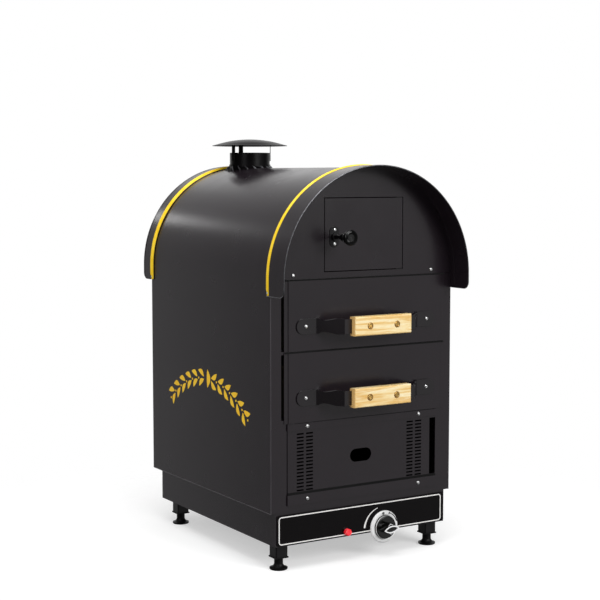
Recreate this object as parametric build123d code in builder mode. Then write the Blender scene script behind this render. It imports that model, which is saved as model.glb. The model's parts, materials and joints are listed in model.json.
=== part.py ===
"""Baked potato oven: an arched sheet-steel case on a plinth with two baking drawers.

Millimetres, +Z up, the front faces -Y. The origin is on the floor, at the middle of the
oven's overall footprint, which runs from the latch knob to the edge of the rear visor.
"""
import math
import os

from build123d import *

os.makedirs("parts", exist_ok=True)

# ---------------------------------------------------------------- driving dimensions
# Case
CASE_WIDTH = 480.0
CASE_DEPTH = 580.0
CASE_FLOOR = 132.0            # underside of the case above the ground
SHEET = 1.5                   # case sheet
LINER_SHEET = 1.2             # stainless sheet of the inner parts
RETURN = 14.0                 # depth of the folded edges
REAR_TAB = 40.0               # width of the rear panel's folded tabs
REAR_TABS = 9                 # round the half circle
FIT = 0.1                     # between fixed sheets that lie in one another
RUNNING = 0.3                 # between parts that slide past each other
PIN_CLEARANCE = 0.05          # radial, shaft in bore

# Visors and trim strips
VISOR_FRONT = 62.0
VISOR_REAR = 35.0
VISOR_RISE = 5.0              # visor outside above the case sheet
VISOR_LEG = 34.0              # how far its ends reach below the roof's centre
VISOR_CORNER = 16.0
HEM_WIDTH = 4.0
HEM_THICKNESS = 2.6
BAND_INSET = 0.5              # visor sheet inside its hem
STRIP_WIDTH = 12.0
STRIP_HEIGHT = 5.0
FLANGE_LAP = 2.0              # visor's flange beyond its strip

# Front openings and drawers
POST_WIDTH = 26.0
LOWER_OPENING = 334.0         # bottom of the lower drawer's opening
OPENING_HEIGHT = 142.0
CROSS_RAIL = 7.0
ARCH_MARGIN = 13.0            # upper opening to the centre of the half-round roof
FRONT_GAP = 1.2
FRONT_MARGIN = 9.5            # step at each side of a front's raised field
FRONT_OFFSET = 6.5            # the fronts and their handles sit this far to the right
FIELD_STEP = 1.5
DRAWER_SIDE_GAP = 16.0        # drawer wall to the liner
DRAWER_HEADROOM = 30.0        # above a drawer's rim, in its opening
DRAWER_LIFT = 4.0             # runner top above the opening's lower edge
RIM_WIDTH = 6.0
RIM_HEIGHT = 3.0
TRAY_SLOTS = 10
TRAY_SLOT_WIDTH = 20.0
TRAY_SLOT_PITCH = 33.0
TRAY_SLOT_END = 29.0          # from the end of a slot to the drawer's end
RUNNER_LEG = 28.0
RUNNER_SHEET = 2.0

# Drawer handles
HANDLE_DROP = 24.5            # below the middle of its drawer front
EAR_SPACING = 323.0           # screw to screw
EAR_HALF = 17.0
EAR_END = 23.0                # from the screw to the rounded end
EAR_INNER = 29.0              # from the screw to the bend
STRAP = 3.0
BAR_STANDOFF = 49.0           # back of the bar to the drawer front
BAR_HALF = 93.5               # middle of the handle to the bend
BAR_HEIGHT = 31.0
GRIP_LENGTH = 150.0
GRIP_HEIGHT = 42.0
GRIP_FRONT = 13.0             # wood before the bar
GRIP_BACK = 5.0               # wood behind the bar
GRIP_ROUND = 3.0
GRIP_SCREW_SPACING = 71.0
GRIP_SCREW_RADIUS = 2.5
GRIP_SCREW_HEAD = 5.0
NECK_OUT, NECK_HALF = 10.0, 12.5            # narrowest place of a strap's arm
SHOULDER_OUT, SHOULDER_HALF = 21.0, 15.0    # where it widens again

# Arched panel, door and latch
ARCH_PANEL_GAP = 1.0
DOOR_HALF = 103.0
DOOR_RISE = 14.5              # door above the centre of the roof
DOOR_CORNER_GAP = 39.1        # door's upper corners to the case
DOOR_GAP = 2.0
DOOR_DEPTH = 12.0
PIVOT_INSET = 6.0
PIVOT_RADIUS = 3.0
PIVOT_BRACKET = 30.0
BUSH_HEIGHT = 12.0
LATCH_X = -79.0
LATCH_ABOVE = 74.5            # latch above the door's lower edge
LATCH_PLATE_WIDTH = 24.0
LATCH_PLATE_HEIGHT = 46.0
LATCH_SCREW_SPACING = 31.0
SPINDLE_RADIUS = 5.0
SPINDLE_SHOULDER = 3.5        # how far its shoulder stands out
SHOULDER_LENGTH = 6.0
TONGUE_LENGTH = 33.0
TONGUE_WIDTH = 13.0
TONGUE_SHEET = 2.0
KNOB_REACH = 70.0
KNOB_RADIUS = 17.0
KNOB_LENGTH = 33.0
KNOB_SOCKET = 12.0
KNOB_NECK = 4.0               # knob's neck outside the spindle
KNOB_NECK_LENGTH = 6.0
KNOB_WAIST_IN, KNOB_WAIST_BACK = 2.6, 15.0  # a point on the knob's flank, from its front rim
KNOB_ROUND = 5.0              # rounded front edge
KNOB_FACE_IN = 4.0            # flat ring round the dished face
KNOB_DISH_RADIUS = 8.0
KNOB_DISH = 3.2
KNOB_DISH_CENTRE = 4.0

# Vent cover and its rails
VENT_INSET = 40.0             # rails' ends to the case sides
LOWER_RAIL_RISE = 14.0        # above the case floor
LOWER_RAIL_HEIGHT = 23.0
UPPER_RAIL_DROP = 9.5         # below the lower drawer's opening
UPPER_RAIL_HEIGHT = 15.0
RAIL_FOOT_TOP = 10.0
RAIL_FOOT_BOTTOM = 14.0
COVER_END_GAP = 1.0
COVER_TRAVEL = 18.0
SLOT_PITCH = 7.75
SLOT_HEIGHT = 3.5
SLOT_WIDTH = 17.8
SLOT_COLUMN_PITCH = 23.8
SLOT_END_MARGIN = 6.0         # rails to the nearest slot
SLOT_GROUP_INSET = 44.0       # cover's end to the middle of a pair of columns
FINGER_HOLE_WIDTH = 57.0
FINGER_HOLE_HEIGHT = 29.5
VENT_OPENING_EDGE = 5.0       # frame opening beyond the rails' inner edges
REAR_SLOT_ROWS = 8
REAR_SLOT_WIDTH = 72.0

# Plinth, controls, base frame, legs and feet
PLINTH_INSET = 12.5           # plinth's sides to the case sides
PLINTH_SETBACK = 2.0
PLINTH_REAR_INSET = 23.0
PLINTH_HEIGHT = 75.0
PANEL_INSET = 2.5             # control panel's ends to the plinth's
PANEL_HEIGHT = 68.0
PANEL_CORNER = 4.0
HOLE_CLEARANCE = 2.0          # round the shaft and the lamp, in the sheets they pass
DIAL_X = 56.0
DIAL_RISE = 10.0              # above the plinth's lower edge
BEZEL_RADIUS = 36.9
BEZEL_BAND = 10.0
BEZEL_HEIGHT = 5.5
BEZEL_EDGE = 1.0
BEZEL_SHOULDER = 2.5
KNOB_SKIRT_RADIUS = 26.0
SKIRT_LIFT = 0.5
SKIRT_PROUD = 5.5             # skirt above the bezel's band
SKIRT_ROUND = 2.0
DIAL_REACH = 34.7
GRIP_TILT = 5.0               # degrees, right end raised
GRIP_LENS_LENGTH = 40.0
GRIP_LENS_WIDTH = 16.0
GRIP_RIDGE_WIDTH = 26.0       # over the thumb ridges
GRIP_RIDGE_BACK = 3.0         # ridges' front behind the grip's
GRIP_ROOT_LENGTH = 46.0
GRIP_ROOT_WIDTH = 24.0
DIAL_TRIM_WIDTH = 2.4
DIAL_SHAFT_RADIUS = 3.0
DIAL_SHAFT_TAIL = 19.0        # shaft behind the plinth's front sheet
THERMOSTAT_WIDTH = 38.0
THERMOSTAT_HEIGHT = 33.0
THERMOSTAT_LENGTH = 28.0
THERMOSTAT_LIFT = 7.0         # its middle above the shaft
LAMP_X = -43.5
LAMP_RISE = 11.0
LAMP_RADIUS = 7.5
LAMP_REACH = 11.0
LAMP_BEVEL = 2.0
LAMP_TAIL = 22.0
GLAND_INSET = 77.5           # from the plinth's right side
GLAND_DROP = 50.0             # below the case floor
GLAND_BODY = 10.0
GLAND_HEX = 15.0
GLAND_HEX_LENGTH = 6.0
GLAND_DOME = 12.0
GLAND_REACH = 18.0
GLAND_TAIL = 8.0
GLAND_BORE = 5.5
TUBE = 30.0
TUBE_WALL = 1.5
TUBE_ROUND = 2.5
LEG_SIDE_INSET = 10.5
LEG_FRONT_INSET = 15.0
LEG_REAR_INSET = 35.0
LEG_BOTTOM = 29.0
INSERT_COLLAR = 3.0
INSERT_EDGE = 1.0             # collar outside the tube
INSERT_PLUG = 16.0
FOOT_RADIUS = 20.0
FOOT_DISC = 4.0
FOOT_EDGE = 1.0
FOOT_NECK_RADIUS = 10.0
FOOT_FLARE_OUT = 3.0
FOOT_FLARE_RISE = 3.2
FOOT_FLARE_TOP = 13.0
FOOT_STEM_RADIUS = 5.0
FOOT_STEM_GAP = 2.0           # stem's end below the plug's top

# Inner parts
LINER_BELOW = 6.0             # liner below the lower opening
LINER_ABOVE = 9.0             # liner above the upper opening
REAR_SPACE = 125.0            # liner to the rear panel, for the motor and the flue
FAN_SPACE = 70.0              # drawers to the liner's rear wall
UPPER_LINER_GAP = 12.5        # between the case sheet and the upper liner
UPPER_FLOOR_RISE = 4.0        # upper liner's floor above the centre of the roof
UPPER_REAR_SPACE = 20.0       # upper liner to the flue
RACK_HEIGHT = 20.0
RACK_ROD = 6.0
RACK_SLOTS = 11
RACK_SIDE_GAP = 45.0
RACK_END_GAP = 40.0
FAN_RISE = 154.0              # above the liner's floor
FAN_RADIUS = 70.0
FAN_BLADES = 12
FAN_WIDTH = 26.0
FAN_REAR_GAP = 6.0
FAN_HUB_RADIUS = 12.0
BLADE_CHORD = 22.0
BLADE_INSET = 14.0
BLADE_SHEET = 2.0
ELEMENT_RADIUS = 90.0
ELEMENT_ROD = 4.0
ELEMENT_TERMINAL = 3.5
ELEMENT_TERMINAL_ANGLES = (75.0, 105.0)
TERMINAL_TAIL = 20.0
BAFFLE_STANDOFF = 44.0
BAFFLE_SIDE_INSET = 30.0
BAFFLE_END_INSET = 20.0
BAFFLE_RING = 18.0            # step between the rings of inlet holes
BAFFLE_HOLE_LENGTH = 10.0
BAFFLE_HOLE_WIDTH = 8.0
BAFFLE_VENT_WIDTH = 22.0
BAFFLE_VENT_HEIGHT = 36.0
BAFFLE_VENT_PITCH = 50.0
MOTOR_RADIUS = 42.0
MOTOR_LENGTH = 58.0
MOTOR_FLANGE = 6.0
MOTOR_FLANGE_WIDTH = 108.0
MOTOR_FLANGE_HEIGHT = 88.0
MOTOR_ROUND = 6.0
MOTOR_END = 10.0              # solid end behind the shaft's bore
MOTOR_SHAFT_RADIUS = 4.0
SHAFT_TAIL = 20.0

# Chimney
FLUE_FROM_REAR = 70.0         # pipe's axis to the rear of the case
PIPE_RADIUS = 50.0
PIPE_RISE = 38.0              # pipe's top above the roof
PIPE_DROP = 78.0              # and its lower end below it
COLLAR_RISE = 9.0
COLLAR_FLARE = 12.0
COLLAR_NECK = 4.0             # cylinder's lower end above the roof
COLLAR_SKIRT = 10.0           # skirt's lower edge below the roof's top
CAP_RADIUS = 93.5
CAP_GAP = 33.5                # cap's top above the pipe
CAP_RISE = 13.0
CAP_RIM = 9.0
CAP_RIM_DROP = 2.3
CAP_SHEET = 1.2
STRAP_WIDTH = 12.0
STRAP_SHEET = 1.5
STRAP_ANGLES = (86.5, 188.5, 328.0)  # about the pipe's axis
STRAP_OVERLAP = 20.0
STRAP_GAP = 0.4
STRAP_FOOT = 18.0

# Fasteners
SCREW_HEAD = 4.2              # radius of the case screws' heads
SCREW_RISE = 2.4
ARCH_SCREW_SPACING = 368.0
ARCH_SCREW_RISE = 8.5
HEAD_TAPER = 20.0
RAIL_SCREW_SPACING = 299.0

# ---------------------------------------------------------------- derived places
CASE_RADIUS = CASE_WIDTH / 2
INNER_RADIUS = CASE_RADIUS - SHEET
PANEL_RADIUS = INNER_RADIUS - FIT
FRONT_Y = KNOB_REACH - (CASE_DEPTH + KNOB_REACH + VISOR_REAR) / 2
DRAWER_BASES = {
    "lower": LOWER_OPENING,
    "upper": LOWER_OPENING + OPENING_HEIGHT + CROSS_RAIL,
}
ARCH_HEIGHT = DRAWER_BASES["upper"] + OPENING_HEIGHT + ARCH_MARGIN
ROOF_TOP = ARCH_HEIGHT + CASE_RADIUS
ARCH_PANEL_BOTTOM = ARCH_HEIGHT - ARCH_PANEL_GAP / 2
SEAM = DRAWER_BASES["upper"] - FRONT_GAP
FRONT_HEIGHT = ARCH_HEIGHT - SEAM - FRONT_GAP
FRONT_BOTTOMS = {"lower": SEAM - FRONT_GAP / 2 - FRONT_HEIGHT, "upper": SEAM + FRONT_GAP / 2}
DOOR_BOTTOM = ARCH_HEIGHT + DOOR_RISE
DOOR_TOP = ARCH_HEIGHT + math.sqrt((CASE_RADIUS - DOOR_CORNER_GAP) ** 2 - DOOR_HALF**2)
LATCH_Z = DOOR_BOTTOM + LATCH_ABOVE
VENT_HALF = CASE_RADIUS - VENT_INSET
LOWER_RAIL = (CASE_FLOOR + LOWER_RAIL_RISE, CASE_FLOOR + LOWER_RAIL_RISE + LOWER_RAIL_HEIGHT)
UPPER_RAIL = (LOWER_OPENING - UPPER_RAIL_DROP - UPPER_RAIL_HEIGHT, LOWER_OPENING - UPPER_RAIL_DROP)
COVER_WIDTH = 2 * VENT_HALF - COVER_END_GAP - COVER_TRAVEL
SLOT_GROUP = COVER_WIDTH / 2 - SLOT_GROUP_INSET
PLINTH_HALF = CASE_RADIUS - PLINTH_INSET
PLINTH_BOTTOM = CASE_FLOOR - PLINTH_HEIGHT
PLINTH_REAR = CASE_DEPTH - PLINTH_REAR_INSET
DIAL_Z = PLINTH_BOTTOM + DIAL_RISE
LAMP_Z = PLINTH_BOTTOM + LAMP_RISE
GLAND_X = PLINTH_HALF - GLAND_INSET
GLAND_Z = CASE_FLOOR - GLAND_DROP
LINER_HALF = CASE_RADIUS - POST_WIDTH
LINER_BOTTOM = LOWER_OPENING - LINER_BELOW
LINER_TOP = DRAWER_BASES["upper"] + OPENING_HEIGHT + LINER_ABOVE
LINER_DEPTH = CASE_DEPTH - REAR_SPACE
DRAWER_HALF = LINER_HALF - DRAWER_SIDE_GAP
DRAWER_HEIGHT = OPENING_HEIGHT - DRAWER_HEADROOM
DRAWER_DEPTH = LINER_DEPTH - FAN_SPACE
FAN_Z = LINER_BOTTOM + FAN_RISE
FLUE_DEPTH = CASE_DEPTH - FLUE_FROM_REAR
UPPER_LINER_RADIUS = INNER_RADIUS - UPPER_LINER_GAP
UPPER_LINER_FLOOR = ARCH_HEIGHT + UPPER_FLOOR_RISE
UPPER_LINER_DEPTH = FLUE_DEPTH - PIPE_RADIUS - UPPER_REAR_SPACE
LEG_X = PLINTH_HALF - LEG_SIDE_INSET - TUBE / 2
LEG_DEPTHS = {
    "front": PLINTH_SETBACK + LEG_FRONT_INSET + TUBE / 2,
    "rear": PLINTH_REAR - LEG_REAR_INSET - TUBE / 2,
}
LEG_TOP = CASE_FLOOR - TUBE


def face_plane(depth):
    """Plane parallel to the front, this far behind it, looking out of the front."""
    return Plane.XZ.offset(-(FRONT_Y + depth))


def span(x0, x1, z0, z1, mode=Mode.ADD):
    """Rectangle between two corners of the current sketch."""
    with Locations(((x0 + x1) / 2, (z0 + z1) / 2)):
        Rectangle(x1 - x0, z1 - z0, mode=mode)


def arch(radius, foot, depth):
    """Arch face at a depth: a half circle on two straight legs that end at foot."""
    with BuildSketch(face_plane(depth)) as face:
        with BuildLine():
            Polyline((-radius, ARCH_HEIGHT), (-radius, foot), (radius, foot), (radius, ARCH_HEIGHT))
            ThreePointArc(
                (radius, ARCH_HEIGHT), (0, ARCH_HEIGHT + radius), (-radius, ARCH_HEIGHT)
            )
        make_face()
    return face.sketch


def arch_band(outer, inner, foot, front, rear):
    """Band between two arches, added to the current part from one depth to another."""
    extrude(arch(outer, foot, rear), amount=rear - front)
    extrude(arch(inner, foot, rear), amount=rear - front, mode=Mode.SUBTRACT)


def save(piece, name):
    """Label a finished piece and write its STEP file."""
    piece.part.label = name
    export_step(piece.part, f"parts/{name}.step")


# ---------------------------------------------------------------- case
with BuildPart() as body_skin:
    arch_band(CASE_RADIUS, INNER_RADIUS, CASE_FLOOR, 0, CASE_DEPTH)
    with BuildSketch(Plane.XY.offset(ARCH_HEIGHT)):
        with Locations((0, FRONT_Y + FLUE_DEPTH)):
            Circle(PIPE_RADIUS + FIT)
    extrude(amount=CASE_RADIUS, mode=Mode.SUBTRACT)
save(body_skin, "body_skin")

with BuildPart() as front_frame:
    with BuildSketch(face_plane(SHEET)):
        span(-PANEL_RADIUS, PANEL_RADIUS, CASE_FLOOR, ARCH_PANEL_BOTTOM - ARCH_PANEL_GAP)
        for base in DRAWER_BASES.values():
            span(-LINER_HALF, LINER_HALF, base, base + OPENING_HEIGHT, mode=Mode.SUBTRACT)
        span(
            -VENT_HALF,
            VENT_HALF,
            LOWER_RAIL[1] + VENT_OPENING_EDGE,
            UPPER_RAIL[0] - VENT_OPENING_EDGE,
            mode=Mode.SUBTRACT,
        )
    extrude(amount=SHEET)
    with BuildSketch(face_plane(RETURN)):
        for side in (-1, 1):
            with Locations((side * (PANEL_RADIUS - SHEET / 2), (CASE_FLOOR + ARCH_PANEL_BOTTOM) / 2)):
                Rectangle(SHEET, ARCH_PANEL_BOTTOM - CASE_FLOOR - 2 * ARCH_PANEL_GAP)
        span(-PANEL_RADIUS, PANEL_RADIUS, CASE_FLOOR, CASE_FLOOR + SHEET)
    extrude(amount=RETURN)
save(front_frame, "front_frame")

with BuildPart() as arch_panel:
    arch_band(PANEL_RADIUS, PANEL_RADIUS - SHEET, ARCH_PANEL_BOTTOM, 0, RETURN)
    extrude(arch(PANEL_RADIUS, ARCH_PANEL_BOTTOM, SHEET), amount=SHEET)
    with BuildSketch(face_plane(SHEET)):
        span(
            -DOOR_HALF - DOOR_GAP,
            DOOR_HALF + DOOR_GAP,
            DOOR_BOTTOM - DOOR_GAP,
            DOOR_TOP + DOOR_GAP,
        )
    extrude(amount=SHEET, mode=Mode.SUBTRACT)
    # folded lip that the door closes against, on the latch side
    lip_front = DOOR_DEPTH + LINER_SHEET + RUNNING
    with BuildSketch(face_plane(lip_front + SHEET)):
        span(-DOOR_HALF - DOOR_GAP - SHEET, -DOOR_HALF - DOOR_GAP, DOOR_BOTTOM, DOOR_TOP)
    extrude(amount=lip_front)
    with BuildSketch(face_plane(lip_front + SHEET)):
        span(-DOOR_HALF - DOOR_GAP - SHEET, -DOOR_HALF + 2 * SHEET, DOOR_BOTTOM, DOOR_TOP)
    extrude(amount=SHEET)
save(arch_panel, "arch_panel")

with BuildPart() as rear_panel:
    extrude(arch(PANEL_RADIUS, CASE_FLOOR, CASE_DEPTH), amount=SHEET)
    with BuildSketch(face_plane(CASE_DEPTH)):
        for side in (-1, 1):
            with Locations((side * SLOT_GROUP / 2, (FAN_Z + CASE_FLOOR) / 2)):
                with GridLocations(1, 2 * SLOT_PITCH, 1, REAR_SLOT_ROWS):
                    Rectangle(REAR_SLOT_WIDTH, SLOT_HEIGHT)
    extrude(amount=SHEET, mode=Mode.SUBTRACT)
    # tabs folded forwards along the case sheet, kept a fitting gap clear of the panel
    tab_radius = math.sqrt(PANEL_RADIUS**2 - (REAR_TAB / 2) ** 2) - SHEET
    with BuildSketch(face_plane(CASE_DEPTH - SHEET - FIT)):
        with Locations((0, ARCH_HEIGHT)):
            tab_step = 180 / REAR_TABS
            with PolarLocations(tab_radius + SHEET / 2, REAR_TABS, tab_step / 2, 180 - tab_step):
                Rectangle(SHEET, REAR_TAB)
        with Locations((0, (ARCH_HEIGHT + CASE_FLOOR) / 2)):
            with GridLocations(2 * PANEL_RADIUS - SHEET, (ARCH_HEIGHT - CASE_FLOOR) / 4, 2, 4):
                Rectangle(SHEET, REAR_TAB)
    extrude(amount=RETURN - SHEET)
save(rear_panel, "rear_panel")

with BuildPart() as floor_pan:
    pan_half = PANEL_RADIUS
    pan_front = RETURN + FIT
    pan_rear = CASE_DEPTH - RETURN - FIT
    with BuildSketch(Plane.XY.offset(CASE_FLOOR)):
        with Locations((0, FRONT_Y + (pan_front + pan_rear) / 2)):
            Rectangle(2 * pan_half, pan_rear - pan_front)
        with Locations((0, FRONT_Y + (CASE_DEPTH - SHEET + pan_front) / 2)):
            Rectangle(2 * (pan_half - SHEET - FIT), CASE_DEPTH - SHEET - pan_front)
    extrude(amount=SHEET)
save(floor_pan, "floor_pan")

# ---------------------------------------------------------------- oven liner and runners
with BuildPart() as oven_liner:
    with BuildSketch(face_plane(LINER_DEPTH)):
        span(-LINER_HALF - LINER_SHEET, LINER_HALF + LINER_SHEET, LINER_BOTTOM, LINER_TOP)
    extrude(amount=LINER_DEPTH - SHEET)
    with BuildSketch(face_plane(LINER_DEPTH - LINER_SHEET)):
        span(-LINER_HALF, LINER_HALF, LINER_BOTTOM + LINER_SHEET, LINER_TOP - LINER_SHEET)
    extrude(amount=LINER_DEPTH, mode=Mode.SUBTRACT)
    with BuildSketch(face_plane(LINER_DEPTH)):
        with Locations((0, FAN_Z)):
            Circle(2 * MOTOR_SHAFT_RADIUS)
            for angle in ELEMENT_TERMINAL_ANGLES:
                with PolarLocations(ELEMENT_RADIUS, 1, angle):
                    Circle(ELEMENT_TERMINAL + FIT)
    extrude(amount=2 * LINER_SHEET, mode=Mode.SUBTRACT)
save(oven_liner, "oven_liner")

with BuildPart() as drawer_runners:
    for base in DRAWER_BASES.values():
        runner_top = base + DRAWER_LIFT
        for side in (-1, 1):
            outer = side * LINER_HALF
            with BuildSketch(face_plane(DRAWER_DEPTH)):
                with BuildLine():
                    Polyline(
                        (outer, runner_top),
                        (outer - side * RUNNER_LEG, runner_top),
                        (outer - side * RUNNER_LEG, runner_top - RUNNER_SHEET),
                        (outer - side * RUNNER_SHEET, runner_top - RUNNER_SHEET),
                        (outer - side * RUNNER_SHEET, LINER_BOTTOM + LINER_SHEET + base - LOWER_OPENING),
                        (outer, LINER_BOTTOM + LINER_SHEET + base - LOWER_OPENING),
                        close=True,
                    )
                make_face()
            extrude(amount=DRAWER_DEPTH - 2 * SHEET)
save(drawer_runners, "drawer_runners")

with BuildPart() as upper_liner:
    extrude(
        arch(UPPER_LINER_RADIUS, ARCH_PANEL_BOTTOM, UPPER_LINER_DEPTH),
        amount=UPPER_LINER_DEPTH - SHEET,
    )
    split(bisect_by=Plane.XY.offset(UPPER_LINER_FLOOR), keep=Keep.TOP)
    offset(amount=-LINER_SHEET, openings=faces().sort_by(Axis.Y)[0])
save(upper_liner, "upper_liner")

with BuildPart() as upper_rack:
    rack_half = UPPER_LINER_RADIUS - RACK_SIDE_GAP
    rack_front = RACK_END_GAP
    rack_rear = UPPER_LINER_DEPTH - RACK_END_GAP
    rack_floor = UPPER_LINER_FLOOR + LINER_SHEET
    with BuildSketch(Plane.XY.offset(rack_floor + RACK_HEIGHT)):
        with Locations((0, FRONT_Y + (rack_front + rack_rear) / 2)):
            Rectangle(2 * rack_half, rack_rear - rack_front)
            with GridLocations(2 * rack_half / RACK_SLOTS, 1, RACK_SLOTS, 1):
                Rectangle(
                    2 * rack_half / RACK_SLOTS - RACK_ROD,
                    rack_rear - rack_front - 2 * RACK_ROD,
                    mode=Mode.SUBTRACT,
                )
    extrude(amount=-RACK_ROD)
    # feet, a fitting gap below the rods
    with BuildSketch(Plane.XY.offset(rack_floor)):
        with Locations((0, FRONT_Y + (rack_front + rack_rear) / 2)):
            with GridLocations(2 * rack_half - RACK_ROD, rack_rear - rack_front - RACK_ROD, 2, 2):
                Rectangle(RACK_ROD, RACK_ROD)
    extrude(amount=RACK_HEIGHT - RACK_ROD - FIT)
save(upper_rack, "upper_rack")

# ---------------------------------------------------------------- fan, element and motor
WALL_FRONT = LINER_DEPTH - LINER_SHEET
FAN_REAR = WALL_FRONT - FAN_REAR_GAP

with BuildPart() as fan_baffle:
    baffle_half = LINER_HALF - BAFFLE_SIDE_INSET
    baffle_low = LINER_BOTTOM + BAFFLE_END_INSET
    baffle_high = LINER_TOP - BAFFLE_END_INSET
    with BuildSketch(face_plane(WALL_FRONT)):
        span(-baffle_half, baffle_half, baffle_low, baffle_high)
    extrude(amount=BAFFLE_STANDOFF)
    with BuildSketch(face_plane(WALL_FRONT)):
        span(
            -baffle_half + LINER_SHEET, baffle_half - LINER_SHEET,
            baffle_low + LINER_SHEET, baffle_high - LINER_SHEET,
        )
    extrude(amount=BAFFLE_STANDOFF - LINER_SHEET, mode=Mode.SUBTRACT)
    with BuildSketch(face_plane(WALL_FRONT)):
        with Locations((0, FAN_Z)):
            for ring in (1, 2, 3):
                with PolarLocations(ring * BAFFLE_RING, 8):
                    Rectangle(BAFFLE_HOLE_LENGTH, BAFFLE_HOLE_WIDTH)
    extrude(amount=2 * BAFFLE_STANDOFF, mode=Mode.SUBTRACT)
    with BuildSketch(Plane.YZ.offset(-baffle_half)):
        with Locations((FRONT_Y + WALL_FRONT - BAFFLE_STANDOFF / 2, FAN_Z)):
            with GridLocations(1, BAFFLE_VENT_PITCH, 1, 4):
                Rectangle(BAFFLE_VENT_WIDTH, BAFFLE_VENT_HEIGHT)
    extrude(amount=2 * baffle_half, mode=Mode.SUBTRACT)
save(fan_baffle, "fan_baffle")

with BuildPart() as ring_element:
    element_depth = FAN_REAR - FAN_WIDTH / 2
    with BuildSketch(Plane.XY.offset(FAN_Z)):
        with Locations((ELEMENT_RADIUS, FRONT_Y + element_depth)):
            Circle(ELEMENT_ROD)
    revolve(axis=Axis((0, FRONT_Y + element_depth, FAN_Z), (0, 1, 0)))
    with BuildSketch(face_plane(LINER_DEPTH + TERMINAL_TAIL)):
        with Locations((0, FAN_Z)):
            for angle in ELEMENT_TERMINAL_ANGLES:
                with PolarLocations(ELEMENT_RADIUS, 1, angle):
                    Circle(ELEMENT_TERMINAL)
    extrude(amount=LINER_DEPTH + TERMINAL_TAIL - element_depth)
save(ring_element, "ring_element")

with BuildPart() as fan_motor:
    with BuildSketch(face_plane(LINER_DEPTH + MOTOR_LENGTH)):
        with Locations((0, FAN_Z)):
            Circle(MOTOR_RADIUS)
    extrude(amount=MOTOR_LENGTH - MOTOR_FLANGE)
    with BuildSketch(face_plane(LINER_DEPTH + MOTOR_FLANGE)):
        with Locations((0, FAN_Z)):
            RectangleRounded(MOTOR_FLANGE_WIDTH, MOTOR_FLANGE_HEIGHT, MOTOR_FLANGE)
    extrude(amount=MOTOR_FLANGE)
    with BuildSketch(face_plane(LINER_DEPTH + MOTOR_LENGTH - MOTOR_END)):
        with Locations((0, FAN_Z)):
            Circle(MOTOR_SHAFT_RADIUS + PIN_CLEARANCE)
    extrude(amount=MOTOR_LENGTH, mode=Mode.SUBTRACT)
    fillet(faces().sort_by(Axis.Y)[-1].edges(), MOTOR_ROUND)
save(fan_motor, "fan_motor")

with BuildPart() as fan_wheel:
    with BuildSketch(face_plane(FAN_REAR)):
        with Locations((0, FAN_Z)):
            Circle(FAN_RADIUS)
    extrude(amount=LINER_SHEET)
    with BuildSketch(face_plane(FAN_REAR)):
        with Locations((0, FAN_Z)):
            Circle(FAN_HUB_RADIUS)
    extrude(amount=FAN_WIDTH)
    with BuildSketch(face_plane(FAN_REAR)):
        with Locations((0, FAN_Z)):
            with PolarLocations(FAN_RADIUS - BLADE_INSET, FAN_BLADES):
                Rectangle(BLADE_CHORD, BLADE_SHEET)
    extrude(amount=FAN_WIDTH)
    with BuildSketch(face_plane(LINER_DEPTH + SHAFT_TAIL)):
        with Locations((0, FAN_Z)):
            Circle(MOTOR_SHAFT_RADIUS)
    extrude(amount=LINER_DEPTH + SHAFT_TAIL - FAN_REAR)
save(fan_wheel, "fan_wheel")

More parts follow.
